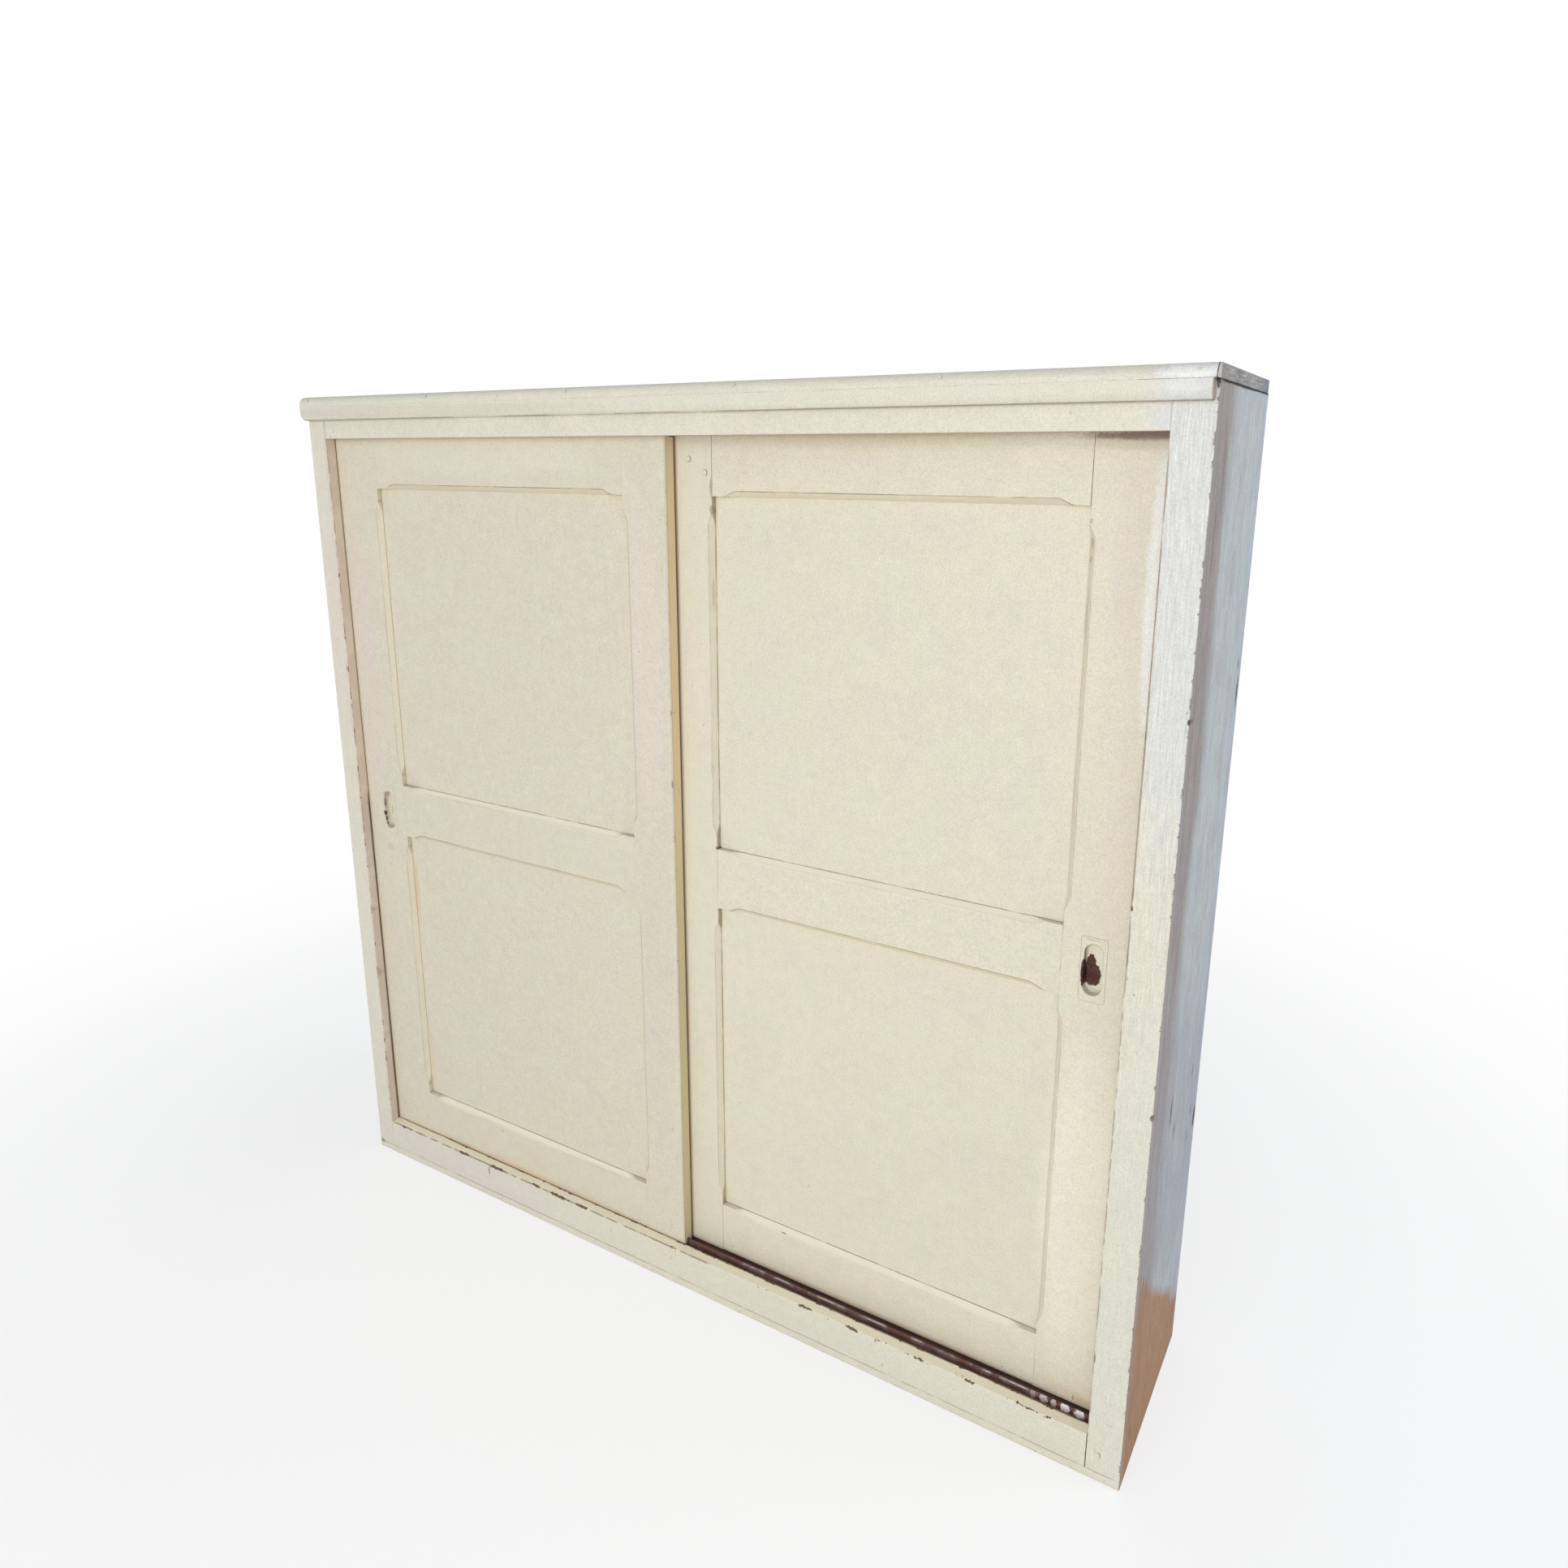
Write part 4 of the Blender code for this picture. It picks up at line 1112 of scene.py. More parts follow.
def settle(
    name: str, mesh: bpy.types.Mesh, place: Point, facing: Point, turn: float = 0.0
) -> bpy.types.Object:
    """Puts a piece that was made about Z on a surface, facing out of it.

    Args:
        name: The piece's name.
        mesh: Its mesh, which is moved into the cabinet's own frame.
        place: Where its foot goes.
        facing: The way that its Z turns to.
        turn: A turn about its own Z.

    Returns:
        The new object, at the origin.
    """
    mesh = mesh.copy()
    spin = Matrix.Rotation(turn, 4, "Z")
    aim = Vector(facing).to_track_quat("Z", "Y").to_matrix().to_4x4()
    mesh.transform(Matrix.Translation(place) @ aim @ spin)
    return linked(name, mesh)


def welded(node: str) -> bpy.types.Object:
    """A node whose faces have been joined along their shared edges.

    Args:
        node: The carried-over node.

    Returns:
        Its object.
    """
    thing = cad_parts[node]
    if "weld" not in thing.modifiers:
        weld = thing.modifiers.new("weld", "WELD")
        weld.merge_threshold = WELD_REACH
    return thing


def soften(node: str, width: float, steps: int = 2) -> None:
    """Rounds every sharp arris of a node a little.

    Args:
        node: The carried-over node.
        width: How wide the rounding is.
        steps: How many strips it has.
    """
    thing = welded(node)
    bevel = thing.modifiers.new("soft_arris", "BEVEL")
    bevel.width = width
    bevel.segments = steps
    bevel.limit_method = "ANGLE"
    bevel.angle_limit = SOFTENED_ABOVE
    bevel.use_clamp_overlap = True
    bevel.harden_normals = False


@dataclass
class Fasteners:
    """Pegs, nails and screws, each made where it is set, with one iron that nails and screws share."""

    peg_radius: float = 0.0052
    peg_proud: float = 0.0010
    peg_sides: int = 14
    nail_radius: float = 0.0026
    nail_proud: float = 0.0002
    nail_sides: int = 10
    screw_radius: float = 0.0040
    screw_steps: int = 12
    slot_width: float = 0.0009
    slot_depth: float = 0.0010
    count: int = 0

    def __post_init__(self) -> None:
        """Makes the iron that nails and screws share."""
        sheet = Sheet("fastener_iron")
        colour, rough, height, metallic = NAIL_IRON.skin(sheet, "fastener_iron", Grain.ACROSS)
        sheet.finish(colour, rough, height)
        sheet.feed(sheet.shader.inputs["Metallic"], metallic)
        self.iron = sheet.material

    def peg(self, name: str, place: Point, body: str, paint: CreamPaint, turn: float) -> None:
        """Sets a riven peg, trimmed a little proud and painted over.

        Args:
            name: The peg's name.
            place: The middle of its end, on the front of the frame.
            body: The body that it rides on.
            paint: The paint over it.
            turn: How its flats are turned.
        """
        radius, proud = self.peg_radius, self.peg_proud
        profile = [
            (0.0, -radius),
            (radius * 0.96, -radius),
            (radius, 0.0),
            (radius * 0.97, proud * 0.6),
            (radius * 0.86, proud),
            (radius * 0.4, proud * 0.8),
            (0.0, proud * 0.7),
        ]
        thing = settle(name, lathe(name, profile, self.peg_sides), place, (0.0, -1.0, 0.0), turn)
        sheet = Sheet(f"{name}_paint")
        box = Box.about(place, radius)
        colour, rough, height = paint.coat(sheet, name, Grain.UPRIGHT, box, WearAndShade())
        offset = sheet.vector("SUBTRACT", sheet.place, place)
        from_middle = sheet.span(sheet.vector("MULTIPLY", offset, (1.0, 0.0, 1.0)))
        # Dark ring round the peg's end: the crack in the paint, darker on its right as a painted shadow
        # crescent.
        side = (sheet.axes[0] - place[0]).rise(-0.2 * radius, 0.7 * radius)
        ring = from_middle.rise(radius * 0.72, radius * 0.88) * (side * 0.75 + 0.15)
        sheet.finish(sheet.mix(ring, colour, (0.24, 0.22, 0.16)), rough, height)
        thing.data.materials.append(sheet.material)
        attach(thing, body)

    def nail(self, name: str, place: Point, face: Face, paint: CreamPaint | None = None) -> None:
        """Sets a cut nail's flat head in a face of the carcass.

        Args:
            name: The nail's name.
            place: The middle of its head.
            face: The way that its head looks.
            paint: The paint over it, if there is any.
        """
        radius, proud = self.nail_radius, self.nail_proud
        profile = [
            (0.0, -radius),
            (radius * 0.8, -radius * 0.5),
            (radius, -proud),
            (radius * 0.95, proud * 0.6),
            (radius * 0.6, proud),
            (0.0, proud * 0.8),
        ]
        self.count += 1
        axis, way = face.value
        facing = Vector()
        facing[axis] = way
        mesh = lathe(name, profile, self.nail_sides)
        thing = settle(name, mesh, place, facing, 0.4 * self.count)
        material = self.iron
        if paint is not None:
            sheet = Sheet(f"{name}_paint")
            box = Box.about(place, radius)
            colour, rough, height = paint.coat(sheet, name, Grain.ACROSS, box, WearAndShade())
            sheet.finish(sheet.mix(0.35, colour, GREY), rough, height)
            material = sheet.material
        thing.data.materials.append(material)
        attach(thing, "carcass")

    def screw(self, name: str, place: Point, facing: Point, body: str, turn: float) -> None:
        """Sets a slotted countersunk screw flush in a surface.

        Args:
            name: The screw's name.
            place: The middle of its head.
            facing: The way that its head looks.
            body: The body that it rides on.
            turn: How its slot is turned.
        """
        radius = self.screw_radius
        half = self.slot_width / 2
        shape = bmesh.new()
        steps = self.screw_steps
        sides = []
        for side in (-1, 1):
            start = math.asin(half / radius)
            span = math.pi - 2 * start
            rim = []
            for step in range(steps + 1):
                angle = start + span * step / steps
                if side < 0:
                    angle += math.pi
                rim.append((radius * math.cos(angle), radius * math.sin(angle)))
            sides.append(rim)
        for rim in sides:
            top = [shape.verts.new((x, y, HAIR / 2)) for x, y in rim]
            foot = [shape.verts.new((x * 0.5, y * 0.5, -radius)) for x, y in rim]
            shape.faces.new(top)
            for one in range(len(rim) - 1):
                shape.faces.new((top[one + 1], top[one], foot[one], foot[one + 1]))
            shape.faces.new((top[0], top[-1], foot[-1], foot[0]))
            shape.faces.new(list(reversed(foot)))
        deep = self.slot_depth
        corners = [(-radius, -half), (radius, -half), (radius, half), (-radius, half)]
        floor = [shape.verts.new((x * 0.98, y, -deep)) for x, y in corners]
        root = [shape.verts.new((x * 0.5, y, -radius * 0.9)) for x, y in corners]
        shape.faces.new(floor)
        shape.faces.new(list(reversed(root)))
        for one in range(4):
            after = (one + 1) % 4
            shape.faces.new((floor[after], floor[one], root[one], root[after]))
        bmesh.ops.recalc_face_normals(shape, faces=shape.faces)
        thing = settle(name, mesh_of(name, shape), place, facing, turn)
        thing.data.materials.append(self.iron)
        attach(thing, body)


def block(name: str, box: Box) -> bpy.types.Object:
    """A plain block that fills a box.

    Args:
        name: The block's name.
        box: The room that it fills.

    Returns:
        The block.
    """
    shape = bmesh.new()
    bmesh.ops.create_cube(shape, size=1.0)
    bmesh.ops.scale(shape, vec=box.size, verts=shape.verts)
    bmesh.ops.translate(shape, vec=box.middle, verts=shape.verts)
    return linked(name, mesh_of(name, shape))


def cut_away(node: str, cutter: bpy.types.Object) -> None:
    """Takes a hidden cutter's shape out of a node.

    Args:
        node: The carried-over node.
        cutter: The object whose shape goes.
    """
    cutter.hide_render = True
    cutter.display_type = "WIRE"
    cutting = welded(node).modifiers.new(cutter.name, "BOOLEAN")
    cutting.operation = "DIFFERENCE"
    cutting.solver = "EXACT"
    cutting.use_self = True
    cutting.object = cutter


def trim(node: str, face: Face, length: float) -> Box:
    """Saws a short length off one end of a node.

    Args:
        node: The carried-over node.
        face: The end that is sawn.
        length: How much goes.

    Returns:
        The box of what is left.
    """
    box = Box.of(node)
    axis, way = face.value
    ends = [box.low[axis], box.high[axis]]
    ends[way > 0] -= way * length
    clear = Vector((length, length, length))
    waste = Box(box.low - clear, box.high + clear)
    if way > 0:
        waste = waste.narrowed(axis, ends[1], box.high[axis] + length)
    else:
        waste = waste.narrowed(axis, box.low[axis] - length, ends[0])
    cut_away(node, block(f"{node}_waste", waste))
    return box.narrowed(axis, *ends)


def filler(
    name: str, low: Point, high: Point, body: str, paint: CreamPaint, cracks: float = 0.7
) -> None:
    """Lays the paint and putty that close a joint, a little below its faces.

    Args:
        name: The filler's name.
        low: Its lowest corner.
        high: Its highest corner.
        body: The body that it rides on.
        paint: The paint that shows on it.
        cracks: How dark the cracks in it are.
    """
    box = Box(Vector(low), Vector(high))
    thing = block(name, box)
    sheet = Sheet(f"{name}_paint")
    colour, rough, height = paint.coat(sheet, name, Grain.UPRIGHT, box, WearAndShade())
    cracked = sheet.noise(70.0, seed_of(name) + 1.0, 3.0).rise(0.50, 0.66)
    sheet.finish(sheet.mix(cracked * cracks, colour, UMBER), rough, height)
    thing.data.materials.append(sheet.material)
    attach(thing, body)


@dataclass(frozen=True)
class ChippedArris:
    """Flakes knocked off an arris, cut out of a piece as small hollows.

    Each flake is its place along the arris, its length and its depth, in millimetres.
    """

    node: str
    faces: tuple[Face, Face]
    flakes: tuple[Flake, ...]

    def apart(self) -> list[Flake]:
        """The flakes without those that would run into an earlier one."""
        kept = []
        for flake in self.flakes:
            if all(abs(flake[0] - other[0]) > 0.6 * (flake[1] + other[1]) for other in kept):
                kept.append(flake)
        return kept

    def cut(self) -> None:
        """Cuts the flakes out of the piece."""
        box = Box.of(self.node)
        along = self.faces[1].along
        chance = random.Random(self.node)
        shape = bmesh.new()
        for place, length, depth in self.apart():
            middle = Vector()
            middle[along] = place * MILLIMETRE
            for face in self.faces:
                axis, way = face.value
                middle[axis] = box.low[axis] if way < 0 else box.high[axis]
            size = Vector((depth, depth, depth)) * MILLIMETRE
            size[along] = length * MILLIMETRE / 2
            made = bmesh.ops.create_icosphere(shape, subdivisions=1, radius=1.0)
            for vert in made["verts"]:
                vert.co = vert.co * chance.uniform(0.72, 1.12)
                vert.co = Vector(a * b for a, b in zip(vert.co, size)) + middle
        name = f"{self.node}_flakes"
        cut_away(self.node, linked(name, mesh_of(name, shape)))


def scattered(
    name: str, low: float, high: float, step: float, length: float, depth: float
) -> tuple[Flake, ...]:
    """Flakes strewn along an arris, the same each run.

    Args:
        name: A word that moves the flakes.
        low: Where they start, in millimetres.
        high: Where they end.
        step: How far apart they are, on average.
        length: How long they are.
        depth: How deep they are.

    Returns:
        The flakes' places, lengths and depths.
    """
    chance = random.Random(name)
    flakes = []
    place = low
    while place < high:
        share = chance.uniform(0.35, 1.0)
        flakes.append((place, length * share, depth * chance.uniform(0.5, 1.0)))
        place += step * chance.uniform(0.45, 1.6)
    return tuple(flakes)


def carcass_marks() -> tuple[Mark, ...]:
    """The spots and stains on the carcass's front and right side, and a painted shadow under the
    lipping's right end.
    """
    side = Face.RIGHT
    return (
        Mark(797, 1400, 92, 580, COOL, 0.88, 0.10, 0.50),
        Mark(802, 380, 94, 600, FRESH, 0.85, 0.10, 0.55),
        Mark(400, 30, 420, 70, FRESH, 0.35, 0.20, 0.6),
        Mark(770, 1551, 44, 12, (0.86, 0.87, 0.84), 0.75, 0.45, 0.6),
        Mark(762, 1533, 28, 12, (0.76, 0.77, 0.74), 0.40, 0.45, 0.6),
        Mark(-560, 1550, 260, 14, (0.66, 0.69, 0.55), 0.45, 0.3, 0.6),
        Mark(799, 1148, 2.2, 4.5, BROWN, 0.95),
        Mark(796, 1160, 2.4, 2.5, GREY, 0.5),
        Mark(796, 1139, 1.2, 5.0, GREY, 0.4),
        Mark(749.6, 1125, 1.2, 6, BROWN, 0.85),
        Mark(750.2, 898, 2.3, 4.5, BROWN, 0.95),
        Mark(750.0, 918, 1.8, 14, UMBER, 0.85, 0.3),
        Mark(749.8, 850, 1.7, 44, (0.33, 0.29, 0.22), 0.85, 0.3),
        Mark(749.9, 826, 1.8, 12, UMBER, 0.75, 0.4),
        Mark(751.0, 800, 2.0, 3.5, GREY, 0.6),
        # Painted shadow under the right end of the lipping.
        Mark(797.8, 1538, 2.6, 7.5, BLACK, 0.95, 0.3, 0.4),
        Mark(-560, 1531, 640, 13, (0.655, 0.625, 0.510), 0.85, 0.2, 0.6),
        Mark(798.4, 611, 3.2, 6.5, (0.17, 0.125, 0.095), 0.9, 0.5, 0.5),
        Mark(750.5, 207, 1.8, 8, UMBER, 0.85),
        Mark(762, 780, 1.6, 2, UMBER, 0.6),
        Mark(778, 105, 6, 1.1, GREY, 0.5),
        Mark(771, 700, 5, 1.0, GREY, 0.35),
        Mark(746, 84, 2.2, 6, BROWN, 0.9),
        Mark(631, 1508.5, 1.3, 2, GREY, 0.6),
        Mark(-742, 1489, 1.0, 6, UMBER, 0.6),
        Mark(-778, 1115, 1.6, 2.2, GREY, 0.6),
        Mark(-761, 1190, 1.6, 9, GREY, 0.5),
        Mark(-758.5, 1060, 2.0, 8, UMBER, 0.6),
        Mark(-757.5, 560, 2.0, 12, UMBER, 0.6),
        Mark(-757.5, 420, 2.0, 16, UMBER, 0.6),
        Mark(-774, 1150, 34, 380, PINK, 0.55, 0.4, 0.6),
        Mark(-793, 14, 8, 7, UMBER, 0.7, 0.6, 0.6),
        Mark(-560, 40, 330, 70, (0.70, 0.645, 0.575), 0.65, 0.3, 0.6),
        Mark(-468, 60, 2.6, 12, UMBER, 0.8),
        Mark(-437, 15.4, 2.4, 2.2, UMBER, 0.7),
        Mark(177, 70.5, 1.8, 1.8, UMBER, 0.75),
        Mark(314, 69.5, 1.8, 1.8, UMBER, 0.75),
        Mark(402, 69.0, 2.6, 2.2, UMBER, 0.8),
        Mark(416, 29, 2.2, 2.2, GREY, 0.7),
        Mark(540, 46, 1.6, 1.6, GREY, 0.5),
        Mark(-150, 50, 1.6, 3.0, GREY, 0.5),
        Mark(-300, 1550, 1.8, 1.8, GREY, 0.5),
        Mark(20, 470, 330, 360, (0.405, 0.400, 0.435), 0.55, 0.3, 0.7, side),
        Mark(163, 1129, 9, 26, (0.15, 0.115, 0.115), 0.90, 0.7, 0.5, side),
        Mark(153, 1170, 11, 11, (0.22, 0.18, 0.19), 0.6, 0.8, 0.6, side),
        Mark(-36, 552, 8, 33, (0.17, 0.16, 0.145), 0.80, 0.6, 0.6, side),
        Mark(0, 500, 8, 16, (0.20, 0.19, 0.19), 0.70, 0.6, 0.6, side),
        Mark(114, 540, 9, 14, (0.20, 0.25, 0.21), 0.75, 0.6, 0.6, side),
        Mark(166, 432, 9, 27, (0.05, 0.045, 0.055), 0.92, 0.5, 0.5, side),
        Mark(132, 462, 8, 14, (0.24, 0.225, 0.235), 0.60, 0.7, 0.6, side),
        Mark(112, 425, 7, 22, (0.24, 0.225, 0.235), 0.55, 0.7, 0.6, side),
        Mark(-121, 68, 5, 18, BROWN, 0.55, 0.6, 0.5, side),
        Mark(-96, 1440, 9, 60, (0.22, 0.20, 0.175), 0.5, 0.9, 0.7, side),
        Mark(-120, 1370, 9, 70, (0.22, 0.20, 0.175), 0.5, 0.9, 0.7, side),
    )


@dataclass
class Carcass:
    """The sides, top, face frame, floor and back, and what is fixed inside."""

    fasteners: Fasteners
    soft_arris: float = 0.0006
    peg_place: tuple[float, float] = (0.765, 0.0453)
    nail_inset: float = 0.018
    screw_shares: tuple[float, float] = (0.22, 0.78)
    board_count: int = 6
    board_nail_shares: tuple[float, float] = (0.16, 0.80)
    top_nail_shares: tuple[float, ...] = (0.15, 0.5, 0.85)
    nosing_nails: int = 6
    nosing_start: float = 0.04
    nosing_spare: float = 0.92
    nosing_level: float = 0.37
    seam_share: float = 0.945
    mould_short: float = 0.005
    splash_level: tuple[float, float] = (-130.0, 71.0)  # millimetres, on the front rail
    splash_reach: tuple[float, float] = (6.0, 8.0)

    def __post_init__(self) -> None:
        """Reads the places that its pieces share from the frame."""
        self.nose = Box.of("top_lipping").low.y
        self.front = Box.of("face_stile_left").low.y
        self.top = Box.of("top_board")
        left, right = Box.of("face_stile_left"), Box.of("face_stile_right")
        self.opening = (left.high.x, right.low.x)
        self.bottom_rail = Box.of("face_bottom_rail").narrowed(0, *self.opening)
        self.top_rail = Box.of("face_top_rail").narrowed(0, *self.opening)
        self.marks = carcass_marks()

    def lay(
        self,
        paint: CreamPaint,
        node: str,
        grain: Grain,
        wear: WearAndShade,
        box: Box | None = None,
        face: Face = Face.FRONT,
    ) -> None:
        """Paints a node, with the carcass's marks that lie on it added to its wear.

        Args:
            paint: The paint.
            node: The carried-over node.
            grain: The way that the brush went.
            wear: What has happened to the piece.
            box: The part of the node that shows, where tenons or a sawn end hide.
            face: The face whose marks it takes.
        """
        box = box or Box.of(node)
        near = tuple(mark for mark in self.marks if mark.face is face and mark.near(box))
        paint.lay(node, grain, box, replace(wear, marks=wear.marks + near))

    def dress_sides(self) -> None:
        """The two side panels: cool and dark with painted shade, a painted shadow under the top board
        and a painted reflection of the floor at the foot.
        """
        # Colour of the painted floor reflection at the right side's foot.
        foot = (0.428, 0.244, 0.140)
        lines = (
            Line(Face.FRONT, 0.128, (0.335, 0.280, 0.255), 0.85, 1.3, 0.50),
            Line(Face.FRONT, 0.0030, UMBER, 0.6, 0.9, 0.06),
            # Painted shadow: a black line under the top board along the side's head.
            Line(Face.HEAD, 0.0040, BLACK, 0.97, 1.5, 0.20),
            Line(Face.BACK, 0.070, (0.450, 0.480, 0.560), 0.40, 1.3, 0.50),
        )
        chips = (Chips((Face.BACK, Face.RIGHT), 0.004, 0.030, 0.35),)
        wear = WearAndShade(chips, lines, slope=foot)
        self.lay(SIDE_PAINT_AND_SHADE, "side_panel_right", Grain.UPRIGHT, wear, face=Face.RIGHT)
        left_paint = replace(
            SIDE_PAINT_AND_SHADE,
            body=(0.58, 0.57, 0.50),
            pink=(0.56, 0.53, 0.47),
            green=(0.55, 0.56, 0.49),
            mottle=0.4,
        )
        left_chips = (Chips((Face.BACK, Face.LEFT), 0.004, 0.030, 0.35),)
        left_lines = (Line(Face.FRONT, 0.0030, UMBER, 0.6, 0.8, 0.06),)
        # A weaker copy of the painted floor reflection at the left side's foot.
        left_wear = WearAndShade(left_chips, left_lines, slope=(0.36, 0.25, 0.17))
        left_paint.lay("side_panel_left", Grain.UPRIGHT, None, left_wear)

    def dress_top(self) -> None:
        """The top board, rubbed through to grey wood."""
        sheet = Sheet("top_board_paint")
        box = self.top
        wear = WearAndShade(lines=(Line(Face.FRONT, 0.003, UMBER, 0.7, 0.9, 0.05),))
        colour, rough, height = TOP_PAINT.coat(sheet, "top_board", Grain.ACROSS, box, wear)
        wood = Pine(early=(0.355, 0.345, 0.335), late=(0.18, 0.165, 0.16), ring=0.004)
        bare, _, bare_height = wood.figure(sheet, "top_board", Grain.ACROSS, box)
        worn = sheet.noise(5.0, 3.0, 5.0, 0.62).rise(0.53, 0.60)
        near = sheet.from_arris(box, Grain.ACROSS).least(sheet.from_arris(box, Grain.DEEP))
        edge = near.fall(0.0, 0.012) * sheet.noise(30.0, 8.0, 4.0).rise(0.40, 0.56)
        ends = sheet.inside(box, Face.LEFT).least(sheet.inside(box, Face.RIGHT))
        at_end = ends.fall(0.0004, 0.0012)
        streak = sheet.noise(Vector((300.0, 22.0, 420.0)), 11.0, 3.0, 0.6)
        end_grain = at_end * streak.rise(0.28, 0.46)
        gone = (worn * 0.85).most(edge).most(end_grain * 0.95)
        dark = at_end * streak.rise(0.48, 0.66) * 0.6
        colour = sheet.mix(dark, sheet.mix(gone, colour, bare), (0.13, 0.115, 0.11))
        rear = sheet.inside(box, Face.BACK).fall(0.01, 0.12) * 0.75
        colour = sheet.mix(rear * at_end, colour, (0.215, 0.22, 0.28))
        fore = sheet.inside(box, Face.FRONT).fall(0.02, 0.10) * streak.rise(0.35, 0.60) * 0.6
        colour = sheet.mix(fore * at_end, colour, (0.33, 0.24, 0.215))
        sheet.finish(colour, rough + gone * 0.2, height + gone * (bare_height - 0.0002))
        wears("top_board", sheet.material)

    def dress_nosing(self) -> None:
        """The top's lipping and the moulding under it, sawn short at its right end."""
        mould = trim("bed_mould", Face.RIGHT, self.mould_short)
        lip_wear = WearAndShade(
            (Chips((Face.LEFT, Face.FRONT), 0.004, 0.010, 0.5),),
            (Line(Face.RIGHT, 0.0012, BLACK, 0.85, 1.3, 0.05, 0.0014),),
            # Painted shade: the lipping's right end is grey like the side beside it.
            (Tone(Face.RIGHT, (0.58, 0.55, 0.51), 0.85, 0.0012),),
        )
        self.lay(FRAME_PAINT, "top_lipping", Grain.ACROSS, lip_wear)
        mould_lines = (
            Line(Face.FOOT, 0.0016, UMBER, 0.75, 0.9, 0.12),
            Line(Face.RIGHT, 0.0012, BROWN, 0.35, 1.0, 0.02),
        )
        mould_tones = (Tone(Face.RIGHT, (0.52, 0.42, 0.33), 0.90, 0.0012),)
        mould_wear = WearAndShade((), mould_lines, mould_tones)
        self.lay(FRAME_PAINT, "bed_mould", Grain.ACROSS, mould_wear, mould)

    def dress_stiles(self) -> None:
        """The face frame's stiles: painted gap shadows beside the opening, painted shade and floor
        reflection on the right stile's end, and rubbed outer arrises.
        """
        upper, lower = (0.72, 1.55), (0.05, 0.80)
        right_wear = WearAndShade(
            (
                Chips((Face.LEFT, Face.FRONT), 0.0010, 0.012, 0.30),
                Chips((Face.RIGHT, Face.FRONT), 0.0030, 0.016, 0.70),
            ),
            (
                # Painted shadow of the gap between the stile and the rear door, as dark dashes along
                # the arris.
                Line(Face.LEFT, 0.0026, UMBER, 0.85, 1.00, 0.08, 0.0, (0.90, 1.46)),
                Line(Face.LEFT, 0.0022, UMBER, 0.75, 0.60, 0.03, 0.0, (0.09, 1.46)),
                # Painted shadow under the top board.
                Line(Face.HEAD, 0.0040, BLACK, 0.97, 1.5, 0.20),
            ),
            (
                Tone(Face.LEFT, (0.52, 0.42, 0.30), 0.7, 0.0012),
                # Painted shade on the stile's right face, the dark grey of the side, with the side's
                # painted brown floor reflection at its foot.
                Tone(Face.RIGHT, (0.300, 0.265, 0.260), 0.93, 0.0016),
                Tone(Face.RIGHT, (0.34, 0.17, 0.09), 0.90, 0.0016, (0.0, 0.33)),
            ),
        )
        self.lay(STILE_PAINT, "face_stile_right", Grain.UPRIGHT, right_wear)
        left_wear = WearAndShade(
            (
                Chips((Face.RIGHT, Face.FRONT), 0.0022, 0.009, 0.50, (0.10, 1.30)),
                Chips((Face.LEFT, Face.FRONT), 0.0012, 0.014, 0.35),
            ),
            (
                Line(Face.RIGHT, 0.0020, UMBER, 0.70, 0.55, 0.03, 0.0, upper, Face.FRONT),
                Line(Face.RIGHT, 0.0080, (0.62, 0.49, 0.41), 0.35, 0.7, 0.05, 0.0, upper),
                Line(Face.RIGHT, 0.0050, (0.62, 0.50, 0.42), 0.45, 0.9, 0.05, 0.0, lower),
                # Painted shadow of the gap between the stile and the front door, blacker and wider low
                # down.
                Line(Face.BACK, 0.0030, (0.45, 0.33, 0.22), 0.65, 1.3, 0.20, 0.0, upper),
                Line(Face.BACK, 0.0042, (0.10, 0.07, 0.045), 0.95, 1.5, 0.40, 0.0, lower),
            ),
            (
                Tone(Face.RIGHT, (0.82, 0.66, 0.52), 0.8, 0.0020, upper),
                Tone(Face.RIGHT, (0.80, 0.68, 0.55), 0.6, 0.0020, lower),
            ),
        )
        self.lay(FRAME_PAINT, "face_stile_left", Grain.UPRIGHT, left_wear)

    def dress_rails(self) -> None:
        """The face frame's rails and the base strip below them."""
        low, high = self.opening
        top_wear = WearAndShade(
            (Chips((Face.FOOT, Face.FRONT), 0.0012, 0.014, 0.40, (low + 0.9, high)),),
            (Line(Face.FOOT, 0.0012, (0.50, 0.38, 0.24), 0.6, 0.9, 0.15, 0.0, None, Face.FRONT),),
            (Tone(Face.FOOT, (0.40, 0.29, 0.18), 0.8, 0.0010),),
        )
        self.lay(FRAME_PAINT, "face_top_rail", Grain.ACROSS, top_wear, self.top_rail)
        bottom_wear = WearAndShade(
            (
                Chips((Face.HEAD, Face.FRONT), 0.0066, 0.022, 1.00, (low, -0.22)),
                Chips((Face.HEAD, Face.FRONT), 0.0046, 0.028, 0.66, (-0.24, high)),
                Chips((Face.HEAD, Face.BACK), 0.0036, 0.020, 0.60, (0.0, high)),
            ),
            (
                Line(Face.HEAD, 0.0026, UMBER, 0.80, 0.70, 0.030, 0.0, (low, 0.10), Face.FRONT),
                Line(Face.BACK, 0.0030, (0.45, 0.32, 0.20), 0.7, 0.9, 0.04),
                Line(Face.RIGHT, 0.0018, (0.07, 0.05, 0.04), 0.95, 1.5, 0.05),
            ),
            (Tone(Face.HEAD, (0.98, 0.92, 0.73), 0.95, 0.0012),),
        )
        self.lay(FRAME_PAINT, "face_bottom_rail", Grain.ACROSS, bottom_wear, self.bottom_rail)
